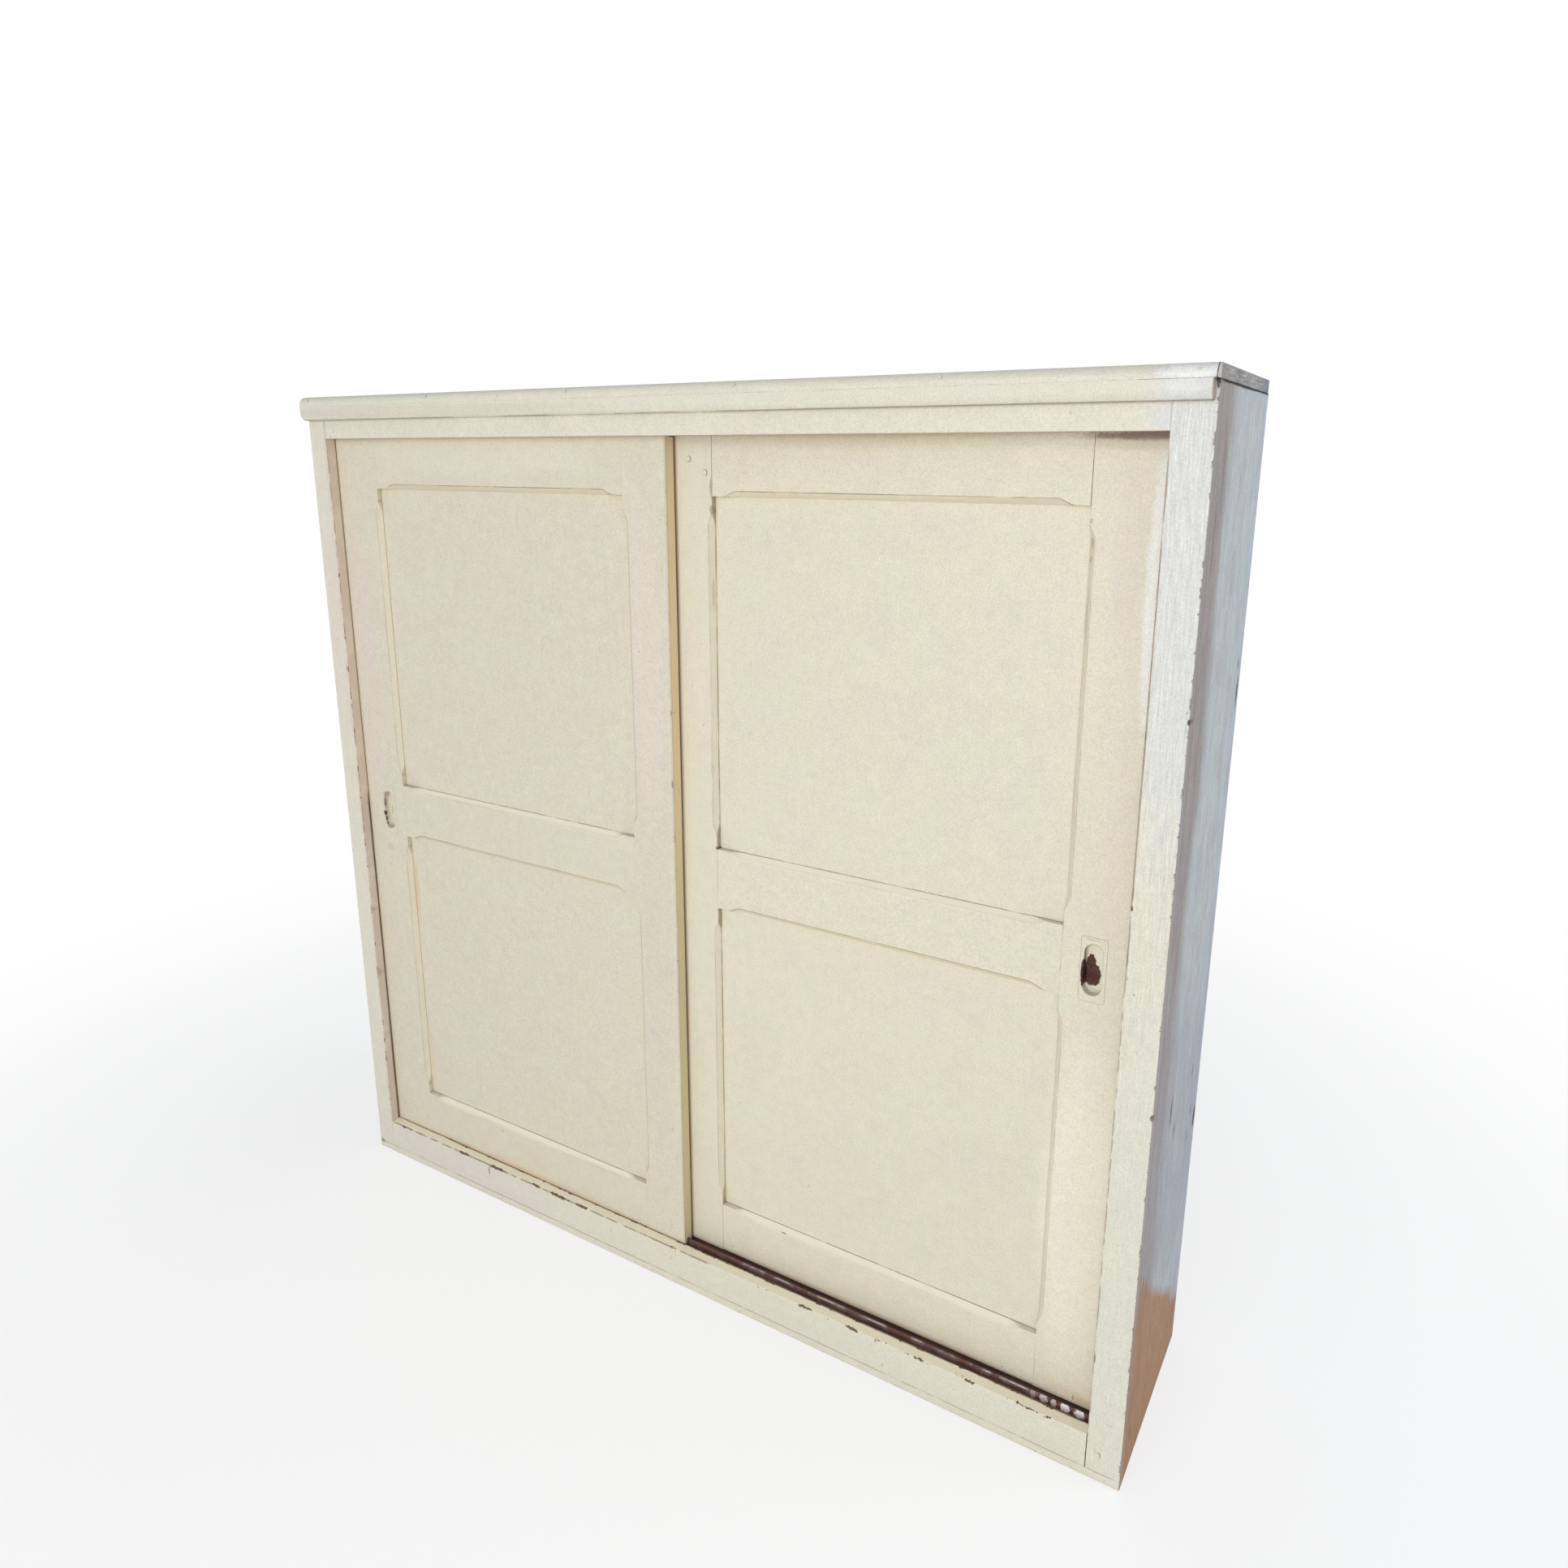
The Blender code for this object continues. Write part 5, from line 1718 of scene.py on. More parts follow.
        strip_wear = WearAndShade(
            (Chips((Face.FOOT, Face.FRONT), 0.0025, 0.030, 0.45),),
            (
                Line(Face.HEAD, 0.0018, (0.42, 0.33, 0.26), 0.75, 0.70, 0.05),
                Line(Face.FOOT, 0.0024, (0.62, 0.42, 0.30), 0.75, 0.9, 0.10),
            ),
            # Painted reflection of the floor, brown, on the strip's right end, as on the side.
            (Tone(Face.RIGHT, (0.30, 0.18, 0.11), 0.93, 0.0016),),
        )
        self.lay(FRAME_PAINT, "base_strip", Grain.ACROSS, strip_wear)

    def set_peg(self) -> None:
        """Sets the peg that shows at the right foot of the face frame."""
        across, up = self.peg_place
        paint = replace(FRAME_PAINT, body=FRESH)
        self.fasteners.peg("frame_peg", (across, self.front, up), "carcass", paint, 0.4)

    def chip_arrises(self) -> None:
        """Cuts the flakes that break the outlines of the face frame."""
        low = self.opening[0] / MILLIMETRE
        front = Face.FRONT
        big = (
            (1182, 18, 2.8),
            (1148, 12, 3.8),
            (1104, 44, 2.0),
            (896, 28, 2.6),
            (861, 16, 3.0),
            (827, 20, 2.4),
            (787, 26, 2.7),
            (611, 15, 4.2),
        )
        small = scattered("right stile", 60, 1470, 34, 24, 1.9)
        ChippedArris("face_stile_right", (Face.RIGHT, front), big + small).cut()
        inner = scattered("left stile", 110, 1460, 15, 9, 1.3)
        ChippedArris("face_stile_left", (Face.RIGHT, front), inner).cut()
        dashes = scattered("rail, left part", low + 12, -60, 22, 20, 1.6)
        dashes += scattered("rail, right part", -40, 430, 45, 20, 1.1)
        dashes += ((451, 32, 1.5), (512, 38, 1.4), (572, 42, 1.5), (646, 58, 1.6))
        dashes += ((693, 26, 1.4), (723, 18, 1.3))
        ChippedArris("face_bottom_rail", (Face.HEAD, front), dashes).cut()
        foot = scattered("base strip", -790, 790, 120, 26, 1.1)
        ChippedArris("base_strip", (Face.FOOT, front), foot).cut()

    def fill_joints(self) -> None:
        """Closes the frame's joints, all but the one at the right foot, and the nosing's seam."""
        fore, rear = self.front + PUTTY_SUNK, self.front + PUTTY_DEPTH
        cool = replace(FRAME_PAINT, body=COOL, pink=COOL, green=COOL)
        joints = (
            ("joint_top_left", self.top_rail.low.x, self.top_rail, FRAME_PAINT),
            ("joint_top_right", self.top_rail.high.x - HAIR, self.top_rail, cool),
            ("joint_bottom_left", self.bottom_rail.low.x, self.bottom_rail, FRAME_PAINT),
        )
        for name, x, rail, paint in joints:
            low = (x, fore, rail.low.z)
            filler(name, low, (x + HAIR, rear, rail.high.z), "carcass", paint, 0.2)
        seam = self.top.low.z
        low = (self.top.low.x, self.nose + PUTTY_SUNK, seam - HAIR)
        end = self.top.low.x + self.seam_share * self.top.size.x
        filler("nosing_seam", low, (end, self.nose + PUTTY_DEPTH, seam), "carcass", FRAME_PAINT)

    def dress_floor(self) -> None:
        """The sill in its channel, the running rails and the bottom board."""
        splashes = (
            (656, 5.5, (0.42, 0.33, 0.31)),
            (673, 8.5, (0.64, 0.55, 0.52)),
            (688.5, 5.5, (0.62, 0.53, 0.50)),
            (706, 9.5, (0.90, 0.87, 0.84)),
            (728, 10.0, (0.90, 0.88, 0.86)),
        )
        blotches = []
        for x, half, colour in splashes:
            place = Vector((x, *self.splash_level)) * MILLIMETRE
            reach = Vector((half, *self.splash_reach)) * MILLIMETRE
            blotches.append(Blotch(place, reach, colour))
        lines = (
            Line(Face.FRONT, 0.011, (0.33, 0.22, 0.15), 0.85, 1.3, 0.08),
            Line(Face.FRONT, 0.0022, BROWN, 0.8, 0.9, 0.03),
        )
        SILL_PINE.lay("sill_board", Grain.ACROSS, WearAndShade(lines=lines), tuple(blotches))
        INSIDE_PAINT.lay("bottom_board", Grain.ACROSS)
        RAIL_STEEL.lay("front_track", Grain.ACROSS, tuple(blotches))
        RAIL_STEEL.lay("rear_track", Grain.ACROSS)

    def dress_head(self) -> None:
        """The head rail and the beads that the doors' tongues run between."""
        for node in ("head_rail", "parting_bead", "rear_guide_bead"):
            DARK_PINE.lay(node, Grain.ACROSS)

    def dress_inside(self) -> None:
        """The partition, the shelves and their battens with their screws."""
        PINE.lay("centre_partition", Grain.UPRIGHT)
        for room in ("left", "right"):
            for number in (1, 2):
                PINE.lay(f"shelf_{room}_{number}", Grain.ACROSS)
                for end in "ab":
                    self.dress_batten(f"batten_{room}_{number}{end}", end)

    def dress_batten(self, node: str, end: str) -> None:
        """A shelf's batten, held by two screws in its inner side.

        Args:
            node: The batten's node.
            end: Which end of the shelf it carries, a or b.
        """
        PINE.lay(node, Grain.DEEP)
        box = Box.of(node)
        facing = (1.0, 0.0, 0.0) if end == "a" else (-1.0, 0.0, 0.0)
        x = box.high.x if end == "a" else box.low.x
        for index, share in enumerate(self.screw_shares):
            place = (x, box.low.y + share * box.size.y, box.middle.z)
            name = f"{node}_screw_{index + 1}"
            self.fasteners.screw(name, place, facing, "carcass", 0.7 + 1.1 * index)

    def dress_back(self) -> None:
        """The back boards and the nails that hold them."""
        levels = {
            "floor": Box.of("bottom_board").middle.z,
            "shelf_1": Box.of("shelf_left_1").middle.z,
            "shelf_2": Box.of("shelf_left_2").middle.z,
            "head": self.top.low.z - self.nail_inset,
        }
        for number in range(1, self.board_count + 1):
            node = f"back_board_{number}"
            OLD_PINE.lay(node, Grain.UPRIGHT)
            box = Box.of(node)
            sunk = box.high.y - self.fasteners.nail_proud
            for level, z in levels.items():
                for letter, share in zip("ab", self.board_nail_shares):
                    x = box.low.x + share * box.size.x
                    name = f"{node}_{level}_nail_{letter}"
                    self.fasteners.nail(name, (x, sunk, z), Face.BACK)

    def nail_top(self) -> None:
        """Nails down through the top board into the sides, and through the lipping."""
        inset = Box.of("side_panel_left").size.x / 2
        sunk = self.top.high.z - self.fasteners.nail_proud
        for side, x in (("left", self.top.low.x + inset), ("right", self.top.high.x - inset)):
            for number, share in enumerate(self.top_nail_shares, 1):
                y = self.top.low.y + share * self.top.size.y
                self.fasteners.nail(f"top_nail_{side}_{number}", (x, y, sunk), Face.HEAD)
        lip = Box.of("top_lipping")
        for number in range(self.nosing_nails):
            share = (number + self.nosing_start) / (self.nosing_nails - self.nosing_spare)
            x = lip.low.x + self.nail_inset / 2 + share * (lip.size.x - self.nail_inset)
            z = lip.high.z - lip.size.z * self.nosing_level
            place = (x, self.nose + self.fasteners.nail_proud, z)
            name = f"nosing_nail_{number + 1}"
            self.fasteners.nail(name, place, Face.FRONT, FRAME_PAINT)

    def soften_edges(self) -> None:
        """Takes the sharpness off every arris that shows."""
        plain = ("top_board", "side_panel", "face_", "base_strip", "bed_mould", "top_lipping")
        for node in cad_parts:
            if node.startswith(plain):
                soften(node, self.soft_arris)

    def build(self) -> None:
        """Dresses the whole carcass."""
        self.dress_sides()
        self.dress_top()
        self.dress_nosing()
        self.dress_stiles()
        self.dress_rails()
        self.fill_joints()
        self.set_peg()
        self.dress_floor()
        self.dress_head()
        self.dress_inside()
        self.dress_back()
        self.nail_top()
        self.soften_edges()
        self.chip_arrises()
        LOG.info("carcass dressed, with %d nails", self.fasteners.count)


@dataclass(frozen=True)
class ChamferAgeAndShade:
    """How yellow and how brown a chamfer looks, by the way that it faces: its yellowing, with painted
    light on chamfers that look up or right and painted shade on those that look down or left.
    """

    colour: Colour
    strength: float
    arris: float
    share: float = 0.9


@dataclass
class Door:
    """A frame-and-panel door with its pull, wheels and pegs."""

    name: str
    paint: CreamPaint
    pull: PaintedPull
    marks: tuple[Mark, ...]
    wears: dict[str, WearAndShade]
    fasteners: Fasteners
    soft_arris: float = 0.0005
    chamfer: float = 0.008
    stop: float = 0.036
    plain: float = 0.020
    sweep: float = 0.024
    # Yellowing with painted light and shade, by the way that each chamfer faces.
    chamfer_age_and_shade: dict[Face, ChamferAgeAndShade] = field(
        default_factory=lambda: {
            Face.FOOT: ChamferAgeAndShade((0.66, 0.56, 0.40), 0.45, 0.80),
            Face.HEAD: ChamferAgeAndShade((0.90, 0.845, 0.675), 0.85, 0.06, 1.4),
            Face.RIGHT: ChamferAgeAndShade((0.76, 0.67, 0.48), 0.40, 0.30),
            Face.LEFT: ChamferAgeAndShade((0.62, 0.55, 0.42), 0.40, 0.30),
        }
    )
    open_joints: tuple[str, ...] = ()
    pegs: tuple[tuple[float, float], ...] = ()

    def __post_init__(self) -> None:
        """Reads the door's layout from the frame."""
        self.outer = self.box("outer_stile")
        self.meeting = self.box("meeting_stile")
        self.rails = {part: self.box(part) for part in ("top_rail", "mid_rail", "bottom_rail")}
        left, right = sorted((self.outer, self.meeting), key=lambda box: box.low.x)
        self.inner = (left.high.x, right.low.x)
        self.inner_faces = {
            "outer_stile": Face.RIGHT if left is self.outer else Face.LEFT,
            "meeting_stile": Face.LEFT if left is self.outer else Face.RIGHT,
        }
        self.front = self.outer.low.y
        self.heights = (
            (self.rails["bottom_rail"].high.z, self.rails["mid_rail"].low.z),
            (self.rails["mid_rail"].high.z, self.rails["top_rail"].low.z),
        )

    def box(self, part: str) -> Box:
        """The box of one of this door's pieces."""
        return Box.of(f"{self.name}_{part}")

    def worn(self, part: str, box: Box, lines: tuple[Line, ...]) -> WearAndShade:
        """A piece's own wear and painted shade, with the lines along its chamfers and the marks that
        lie on it.
        """
        wear = self.wears.get(part, WearAndShade())
        near = tuple(mark for mark in self.marks if mark.near(box))
        return replace(wear, lines=lines + wear.lines, marks=wear.marks + near)

    def chamfer_lines(self, face: Face, spans: tuple[Span, ...]) -> tuple[Line, ...]:
        """The brown line along a chamfer's arris and the yellow band on the chamfer, lighter or darker
        as painted light and shade by the way that the chamfer faces.

        Args:
            face: The piece's face that the chamfer cuts.
            spans: Where the panels beside it start and end.

        Returns:
            The lines.
        """
        lines = []
        for low, high in spans:
            span = (low + self.stop, high - self.stop)
            look = self.chamfer_age_and_shade[face]
            band = self.chamfer * look.share
            lines.append(Line(face, band, look.colour, look.strength, 1.5, 0.15, 0.0, span))
            whole = (low + self.plain, high - self.plain)
            line = Line(
                face, 0.0011, OCHRE, look.arris, 0.95, 0.06, self.chamfer, whole, None, self.sweep
            )
            lines += [line, replace(line, width=0.0007, colour=UMBER, cover=0.60)]
        return tuple(lines)

    def dress_frame(self) -> None:
        """Paints the stiles and rails."""
        for part, face in self.inner_faces.items():
            box = self.box(part)
            wear = self.worn(part, box, self.chamfer_lines(face, self.heights))
            self.paint.lay(f"{self.name}_{part}", Grain.UPRIGHT, None, wear)
        sides = {
            "top_rail": (Face.FOOT,),
            "mid_rail": (Face.FOOT, Face.HEAD),
            "bottom_rail": (Face.HEAD,),
        }
        for part, faces in sides.items():
            box = self.rails[part].narrowed(0, *self.inner)
            lines = sum((self.chamfer_lines(face, (self.inner,)) for face in faces), ())
            wear = self.worn(part, box, lines)
            self.paint.lay(f"{self.name}_{part}", Grain.ACROSS, box, wear)
        for part in (*self.inner_faces, *sides):
            soften(f"{self.name}_{part}", self.soft_arris)

    def dress_panels(self) -> None:
        """Paints the panels, with grime and yellowing where they meet the frame."""
        for part, (low, high) in zip(("lower_panel", "upper_panel"), self.heights):
            box = self.box(part).narrowed(0, *self.inner).narrowed(2, low, high)
            lines = (
                Line(Face.HEAD, 0.0100, YELLOW, 0.20, 0.6, 0.25),
                Line(Face.LEFT, 0.0080, YELLOW, 0.22, 0.6, 0.20),
                Line(Face.HEAD, 0.0016, OCHRE, 0.35, 0.9, 0.08),
                Line(Face.LEFT, 0.0012, (0.42, 0.33, 0.19), 0.50, 0.75, 0.06),
                Line(Face.RIGHT, 0.0010, (0.45, 0.36, 0.22), 0.50, 0.60, 0.05),
                Line(Face.FOOT, 0.0013, (0.27, 0.22, 0.15), 0.85, 0.85, 0.04),
            )
            wear = self.worn(part, box, lines)
            corner = tuple(
                Mark(x / MILLIMETRE, z / MILLIMETRE, 4.5, 3.0, UMBER, strength, 0.7, 0.5)
                for x in self.inner
                for z, strength in ((low, 0.8), (high, 0.35))
            )
            wear = replace(wear, marks=corner + wear.marks)
            self.paint.lay(f"{self.name}_{part}", Grain.UPRIGHT, box, wear)

    def dress_metal(self) -> None:
        """Dresses the pull, the wheels and their housings."""
        self.pull.lay(f"{self.name}_flush_pull")
        for letter in "ab":
            IRON.lay(f"{self.name}_sheave_{letter}")
            BRASS.lay(f"{self.name}_wheel_{letter}", Grain.DEEP)

    def fill_joints(self) -> None:
        """Closes the joints that the paint has kept closed."""
        fore, rear, clear = self.front + PUTTY_SUNK, self.front + PUTTY_DEPTH, MILLIMETRE
        for part, rail in self.rails.items():
            for side, x in (("left", self.inner[0]), ("right", self.inner[1] - HAIR)):
                if f"{part}_{side}" in self.open_joints:
                    continue
                low = (x, fore, rail.low.z + clear)
                high = (x + HAIR, rear, rail.high.z - clear)
                filler(f"{self.name}_{part}_{side}_joint", low, high, self.name, self.paint)

    def set_pegs(self) -> None:
        """Sets the pegs that show in its top joint."""
        for number, (x, z) in enumerate(self.pegs, 1):
            name = f"{self.name}_peg_{number}"
            place = (x, self.front, z)
            self.fasteners.peg(name, place, self.name, self.paint, 0.3 * number)

    def build(self) -> None:
        """Dresses the whole door."""
        self.dress_frame()
        self.dress_panels()
        self.dress_metal()
        self.fill_joints()
        self.set_pegs()
        LOG.info("%s dressed", self.name)


def front_door(fasteners: Fasteners) -> Door:
    """The left door, which runs in front.

    Args:
        fasteners: What makes its pegs.

    Returns:
        The door, still to be dressed.
    """
    upper, lower = (0.72, 1.52), (0.05, 0.80)
    wears = {
        "meeting_stile": WearAndShade(
            (Chips((Face.RIGHT, Face.FRONT), 0.0012, 0.012, 0.50),),
            (
                # Painted shade on the rounded arris between the face and the meeting edge.
                Line(Face.RIGHT, 0.0042, (0.54, 0.49, 0.36), 0.6, 1.2, 0.08, 0.0, None, Face.FRONT),
                # Painted shadow of the gap between the doors, on the back of the edge.
                Line(Face.BACK, 0.0022, (0.13, 0.09, 0.045), 0.90, 1.5, 0.40),
            ),
            (
                Tone(Face.RIGHT, TAN, 0.95, 0.0010, upper),
                Tone(Face.RIGHT, OLIVE, 0.95, 0.0010, lower),
                Tone(Face.LEFT, TAN, 0.5, 0.0010),
            ),
        ),
        "outer_stile": WearAndShade(
            (),
            (Line(Face.LEFT, 0.0060, (0.74, 0.60, 0.44), 0.55, 1.0, 0.20, 0.0225),),
            (Tone(Face.LEFT, TAN, 0.9, 0.0010),),
        ),
        "bottom_rail": WearAndShade((), (Line(Face.FOOT, 0.0016, UMBER, 0.75, 0.9, 0.05, 0.0025),)),
    }
    marks = (
        Mark(-40, 800, 50, 760, (0.655, 0.600, 0.495), 0.60, 0.3, 0.5),
        Mark(4.2, 940, 2.0, 8, UMBER, 0.85),
        Mark(4.8, 1059, 1.4, 6, UMBER, 0.75),
        Mark(-14, 300, 2.0, 6, (0.50, 0.46, 0.40), 0.5),
        Mark(-40, 1120, 44, 330, PINK, 0.55, 0.3, 0.6),
        Mark(-56, 1153, 2.2, 1.8, UMBER, 0.6),
        Mark(-738.5, 1185, 1.6, 9, (0.50, 0.43, 0.35), 0.6),
        Mark(-736, 1430, 4, 8, (0.55, 0.47, 0.38), 0.4),
        Mark(-708, 700, 10, 10, GREY, 0.2),
        Mark(-725, 1080, 38, 380, (0.705, 0.625, 0.550), 0.60, 0.3, 0.6),
        Mark(-444, 146.6, 3, 2.2, GREY, 0.75),
        Mark(-628, 768, 12, 1.2, (0.55, 0.48, 0.40), 0.5),
        Mark(-370, 775, 2, 2, GREY, 0.4),
        Mark(-685, 1479, 1, 6, GREY, 0.5),
        Mark(-648, 612, 9, 88, (0.66, 0.53, 0.32), 0.7, 0.4, 0.6),
        Mark(-645, 250, 8, 90, (0.68, 0.56, 0.38), 0.5, 0.4, 0.6),
        Mark(-400, 1462, 330, 46, (0.725, 0.695, 0.560), 0.65, 0.2, 0.5),
        # Painted shade under the face top rail, with yellowing, across the door's top.
        Mark(-370, 1494, 400, 12, OCHRE, 0.45, 0.2, 0.7),
        Mark(-370, 1485, 400, 20, YELLOW, 0.40, 0.2, 0.7),
        Mark(-360, 76, 400, 9, (0.66, 0.50, 0.34), 0.6, 0.25, 0.7),
    )
    # Dark marks down the cup's left side: worn paint, and painted shadow of the cup's left wall.
    worn = (
        Mark(-12, 13, 4.0, 15, (0.24, 0.185, 0.15), 0.85, 0.8, 0.6, deep=5.0),
        Mark(-14.5, -9, 4.2, 7, (0.035, 0.028, 0.020), 0.95, 0.7, deep=5.0),
        Mark(-12.2, -19, 3.2, 7.5, (0.12, 0.10, 0.075), 0.85, 0.9, deep=4.5),
        Mark(-10.2, -28, 3.2, 6, (0.09, 0.075, 0.055), 0.90, 0.9, deep=5.0),
    )
    shadows = (
        Mark(-11, 30, 6, 10, (0.46, 0.37, 0.35), 0.8, 0.5, 0.6),
        Mark(-5, -4, 2.4, 12, (0.42, 0.38, 0.32), 0.6, 0.6),
        Mark(-6, -36, 7, 5, (0.40, 0.38, 0.32), 0.6, 0.6),
    )
    pull = PaintedPull(DOOR_PAINT, IRON, worn, shadows, 0.12)
    return Door("front_door", DOOR_PAINT, pull, marks, wears, fasteners)


def rear_door(fasteners: Fasteners) -> Door:
    """The right door, which runs behind.

    Args:
        fasteners: What makes its pegs.

    Returns:
        The door, still to be dressed.
    """
    joint = (
        Line(Face.LEFT, 0.0008, BROWN, 0.75, 1.0, 0.05),
        Line(Face.RIGHT, 0.0008, BROWN, 0.8, 1.1, 0.05),
    )
    wears = {
        "meeting_stile": WearAndShade(
            (),
            (
                Line(Face.RIGHT, 0.0012, (0.40, 0.34, 0.24), 0.75, 0.75, 0.05),
                # Painted shade: the warm dark of the gap behind the front door's edge.
                Line(Face.LEFT, 0.0032, (0.60, 0.42, 0.24), 0.85, 1.5, 0.40, 0.0165),
                # Painted light: a pale strip beside that gap.
                Line(Face.LEFT, 0.0024, (0.82, 0.71, 0.60), 0.70, 1.1, 0.30, 0.0230),
            ),
            (Tone(Face.LEFT, TAN, 0.9, 0.0010), Tone(Face.RIGHT, (0.60, 0.48, 0.32), 0.7, 0.0010)),
        ),
        "outer_stile": WearAndShade((), (Line(Face.LEFT, 0.0010, (0.36, 0.29, 0.20), 0.6, 0.45, 0.06),)),
        "top_rail": WearAndShade((), joint),
        # Painted shadow at the door's foot.
        "bottom_rail": WearAndShade((), (Line(Face.FOOT, 0.0030, BROWN, 0.8, 1.1, 0.05),)),
    }
    brown = (0.38, 0.29, 0.21)
    marks = (
        # Painted shade under the face top rail, with grime and yellowing, darkest at the right.
        Mark(380, 1492, 420, 12, (0.50, 0.37, 0.24), 0.65, 0.15, 0.6),
        Mark(380, 1484, 420, 24, YELLOW, 0.45, 0.15, 0.7),
        Mark(720, 1483, 110, 8.5, (0.20, 0.12, 0.075), 0.92, 0.35, 0.6),
        Mark(720, 1472, 110, 11, (0.58, 0.47, 0.34), 0.45, 0.4, 0.7),
        Mark(71, 1412, 2.6, 18, brown, 0.75),
        Mark(71, 1378, 3.4, 8, brown, 0.8),
        Mark(70, 1250, 2.2, 30, (0.46, 0.38, 0.30), 0.5, 0.7),
        Mark(50, 1040, 1.8, 2.6, GREY, 0.5),
        Mark(29, 1102, 1.6, 2.0, GREY, 0.5),
        Mark(65, 970, 3.0, 18, (0.58, 0.50, 0.42), 0.5, 0.6),
        Mark(32, 700, 26, 300, (0.70, 0.705, 0.56), 0.5, 0.3, 0.6),
        Mark(652, 1380, 2.0, 4.0, brown, 0.7),
        Mark(654, 1352, 2.8, 8, brown, 0.65),
        Mark(653, 1332, 1.8, 6, brown, 0.65),
        Mark(653, 1260, 2.0, 50, (0.52, 0.42, 0.30), 0.5, 0.6),
        Mark(702, 1340, 26, 190, (0.69, 0.625, 0.525), 0.65, 0.3, 0.6),
        Mark(741, 1290, 21, 240, (0.83, 0.835, 0.785), 0.88, 0.2, 0.45),
        # A lighter wash on the outer stile's lower half: partly its paint, partly painted light against
        # the shade of the face stile.
        Mark(700, 400, 75, 340, (0.815, 0.775, 0.625), 0.90, 0.15, 0.5),
        Mark(715, 1050, 26, 300, PINK, 0.35, 0.3, 0.7),
        Mark(729, 79, 22, 9, (0.62, 0.46, 0.30), 0.55, 0.4, 0.7),
        Mark(700, 84, 58, 13, (0.70, 0.56, 0.42), 0.35, 0.4, 0.7),
        Mark(712.5, 80, 2.0, 6, (0.36, 0.26, 0.17), 0.75, 0.5),
        Mark(350, 74, 380, 8, (0.66, 0.50, 0.34), 0.60, 0.3, 0.7),
        Mark(95, 86.5, 1.6, 1.6, GREY, 0.6),
        Mark(600, 80, 3, 1.6, UMBER, 0.5),
        Mark(710, 640, 30, 120, PINK, 0.25, 0.4, 0.6),
        Mark(200, 156.5, 7, 1.2, UMBER, 0.7),
        Mark(71.6, 836, 3, 3, BROWN, 0.7),
    )
    worn = (
        Mark(-3.0, -8, 13.0, 15, (0.062, 0.016, 0.013), 0.99, 0.30, 0.10),
        Mark(-2.5, -17, 12.0, 11, (0.062, 0.016, 0.013), 0.99, 0.30, 0.10),
        Mark(-5.0, 8, 7.0, 12, (0.062, 0.016, 0.013), 0.99, 0.40, 0.10),
        Mark(-6.0, -22, 5.0, 7, (0.075, 0.052, 0.022), 0.9, 0.5, 0.3),
        # Painted shadow: the near black of the cup's left wall.
        Mark(-13.5, -6, 3.4, 22, (0.014, 0.007, 0.005), 0.98, 0.35, 0.15),
    )
    shadows = (
        Mark(2, 22, 9, 10, (0.76, 0.69, 0.63), 0.6, 0.4, 0.6),
        Mark(-2, -34, 12, 6, (0.50, 0.50, 0.44), 0.6, 0.4, 0.5),
        Mark(-2, 44, 15, 1.2, (0.50, 0.42, 0.30), 0.6, 0.4, 0.5),
    )
    return Door(
        "rear_door",
        REAR_PAINT,
        PaintedPull(REAR_PAINT, IRON, worn, shadows),
        marks,
        wears,
        fasteners,
        open_joints=("top_rail_left", "top_rail_right"),
        pegs=((0.030, 1.453), (0.060, 1.433)),
    )


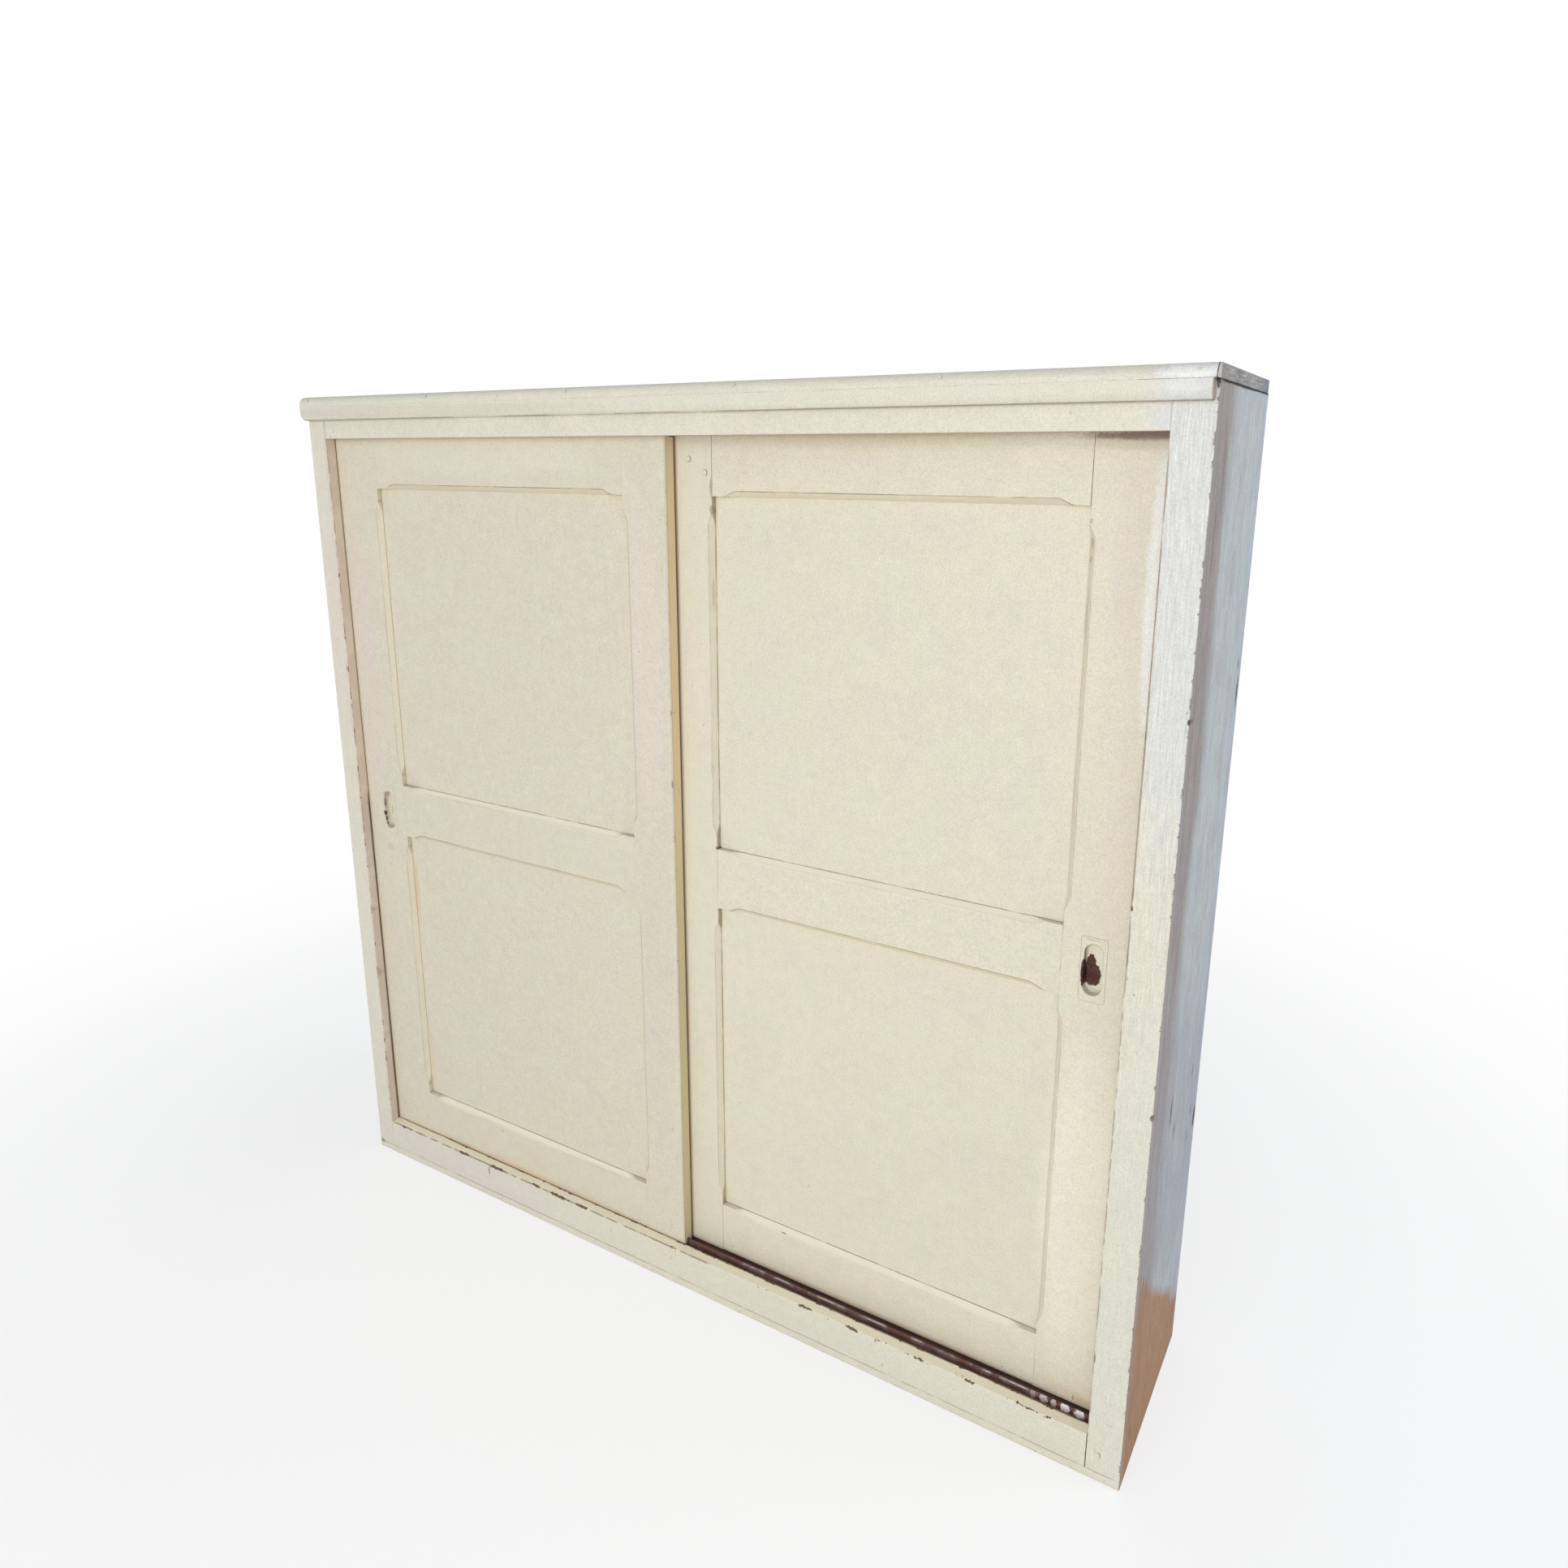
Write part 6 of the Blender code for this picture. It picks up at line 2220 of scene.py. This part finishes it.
@dataclass
class Studio:
    """A pale floor, a white surround and soft lamps."""

    reach: float = 12.0
    fade_start: float = 0.9
    fade_end: float = 2.6
    floor_tone: Colour = (0.90, 0.90, 0.895)
    floor_white: float = 0.70
    sky: Colour = (0.93, 0.97, 1.06)
    sky_strength: float = 0.50
    lamp_aim: Point = (0.0, 0.0, 0.75)

    def add_floor(self) -> None:
        """The floor, which fades into the white surround a few steps away."""
        shape = bmesh.new()
        bmesh.ops.create_grid(shape, x_segments=8, y_segments=8, size=self.reach)
        floor = linked("studio_floor", mesh_of("studio_floor", shape))
        sheet = Sheet("studio_floor")
        dust = sheet.noise(3.0, 5.0, 4.0) - 0.5
        tone = sheet.shade(sheet.plain(self.floor_tone), dust * 0.02 + 1.0)
        sheet.finish(tone, 0.75)
        seen = sheet.node("ShaderNodeLightPath", output="Is Camera Ray")
        white = sheet.node("ShaderNodeEmission", None, {"Color": (1.0, 1.0, 1.0), "Strength": 1.0})
        lit = Signal(sheet, sheet.shader.outputs["BSDF"])
        lifted = sheet.node("ShaderNodeMixShader", None, {0: seen * self.floor_white, 1: lit, 2: white})
        away = sheet.span(sheet.place).rise(self.fade_start, self.fade_end)
        clear = sheet.node("ShaderNodeBsdfTransparent")
        faded = sheet.node("ShaderNodeMixShader", None, {0: away * seen, 1: lifted, 2: clear})
        sheet.tree.links.new(faded.socket, sheet.surface)
        floor.data.materials.append(sheet.material)

    def add_sky(self) -> None:
        """The light from all round, and the plain white that is seen behind."""
        world = bpy.data.worlds.new("studio_world")
        bpy.context.scene.world = world
        world.use_nodes = True
        tree = world.node_tree
        tree.nodes.clear()
        light = tree.nodes.new("ShaderNodeBackground")
        light.inputs["Color"].default_value = (*self.sky, 1.0)
        light.inputs["Strength"].default_value = self.sky_strength
        white = tree.nodes.new("ShaderNodeBackground")
        white.inputs["Color"].default_value = (1.0, 1.0, 1.0, 1.0)
        path = tree.nodes.new("ShaderNodeLightPath")
        either = tree.nodes.new("ShaderNodeMath")
        either.operation = "MAXIMUM"
        tree.links.new(path.outputs["Is Camera Ray"], either.inputs[0])
        tree.links.new(path.outputs["Is Transmission Ray"], either.inputs[1])
        both = tree.nodes.new("ShaderNodeMixShader")
        tree.links.new(either.outputs[0], both.inputs[0])
        tree.links.new(light.outputs[0], both.inputs[1])
        tree.links.new(white.outputs[0], both.inputs[2])
        output = tree.nodes.new("ShaderNodeOutputWorld")
        tree.links.new(both.outputs[0], output.inputs["Surface"])

    def add_lamp(self, name: str, place: Point, size: float, power: float, tint: Colour) -> None:
        """A square soft lamp that looks at the cabinet's middle.

        Args:
            name: The lamp's name.
            place: Where it stands.
            size: The length of its sides.
            power: Its power in watts.
            tint: Its colour.
        """
        data = bpy.data.lights.new(name, "AREA")
        data.size = size
        data.energy = power
        data.color = tint
        lamp = linked(name, data)
        lamp.location = place
        aim = Vector(self.lamp_aim) - Vector(place)
        lamp.rotation_mode = "QUATERNION"
        lamp.rotation_quaternion = aim.to_track_quat("-Z", "Y")

    def build(self) -> None:
        """Sets up floor, surround and lamps."""
        self.add_floor()
        self.add_sky()
        self.add_lamp("window_lamp", (0.4, -4.2, 1.6), 3.2, 94.5, (1.0, 0.975, 0.94))
        self.add_lamp("side_lamp", (3.4, 0.8, 2.6), 2.0, 40.0, (0.93, 0.97, 1.0))
        LOG.info("studio set up")


@dataclass
class Viewpoint:
    """The camera, where a standing person looks down at the right-hand front corner."""

    place: Point = (1.04954, -1.49738, 1.45418)
    yaw: float = 30.8224
    pitch: float = -13.9585
    roll: float = 0.1848
    lens: float = 25.1006
    film: float = 36.0
    shift: tuple[float, float] = (-0.0087546, -0.0341772)

    def build(self) -> None:
        """Makes the scene's camera."""
        yaw, pitch, roll = (math.radians(angle) for angle in (self.yaw, self.pitch, self.roll))
        forward = Vector(
            (-math.sin(yaw) * math.cos(pitch), math.cos(yaw) * math.cos(pitch), math.sin(pitch))
        )
        level = Vector((math.cos(yaw), math.sin(yaw), 0.0))
        upright = level.cross(forward)
        right = level * math.cos(roll) + upright * math.sin(roll)
        up = upright * math.cos(roll) - level * math.sin(roll)
        data = bpy.data.cameras.new("viewpoint")
        data.lens = self.lens
        data.sensor_width = self.film
        data.sensor_fit = "HORIZONTAL"
        data.shift_x, data.shift_y = self.shift
        data.dof.use_dof = False
        camera = linked("viewpoint", data)
        turn = Matrix((right, up, -forward)).transposed().to_4x4()
        camera.matrix_world = Matrix.Translation(self.place) @ turn
        bpy.context.scene.camera = camera
        LOG.info("camera set")


def main() -> None:
    """Dresses the cabinet, then sets up the studio and the camera."""
    logging.basicConfig(level=logging.INFO, format="%(message)s")
    bpy.context.scene.view_settings.view_transform = "Standard"
    Viewpoint().build()
    Studio().build()
    fasteners = Fasteners()
    Carcass(fasteners).build()
    for door in (front_door(fasteners), rear_door(fasteners)):
        door.build()


if __name__ == "__main__":
    main()
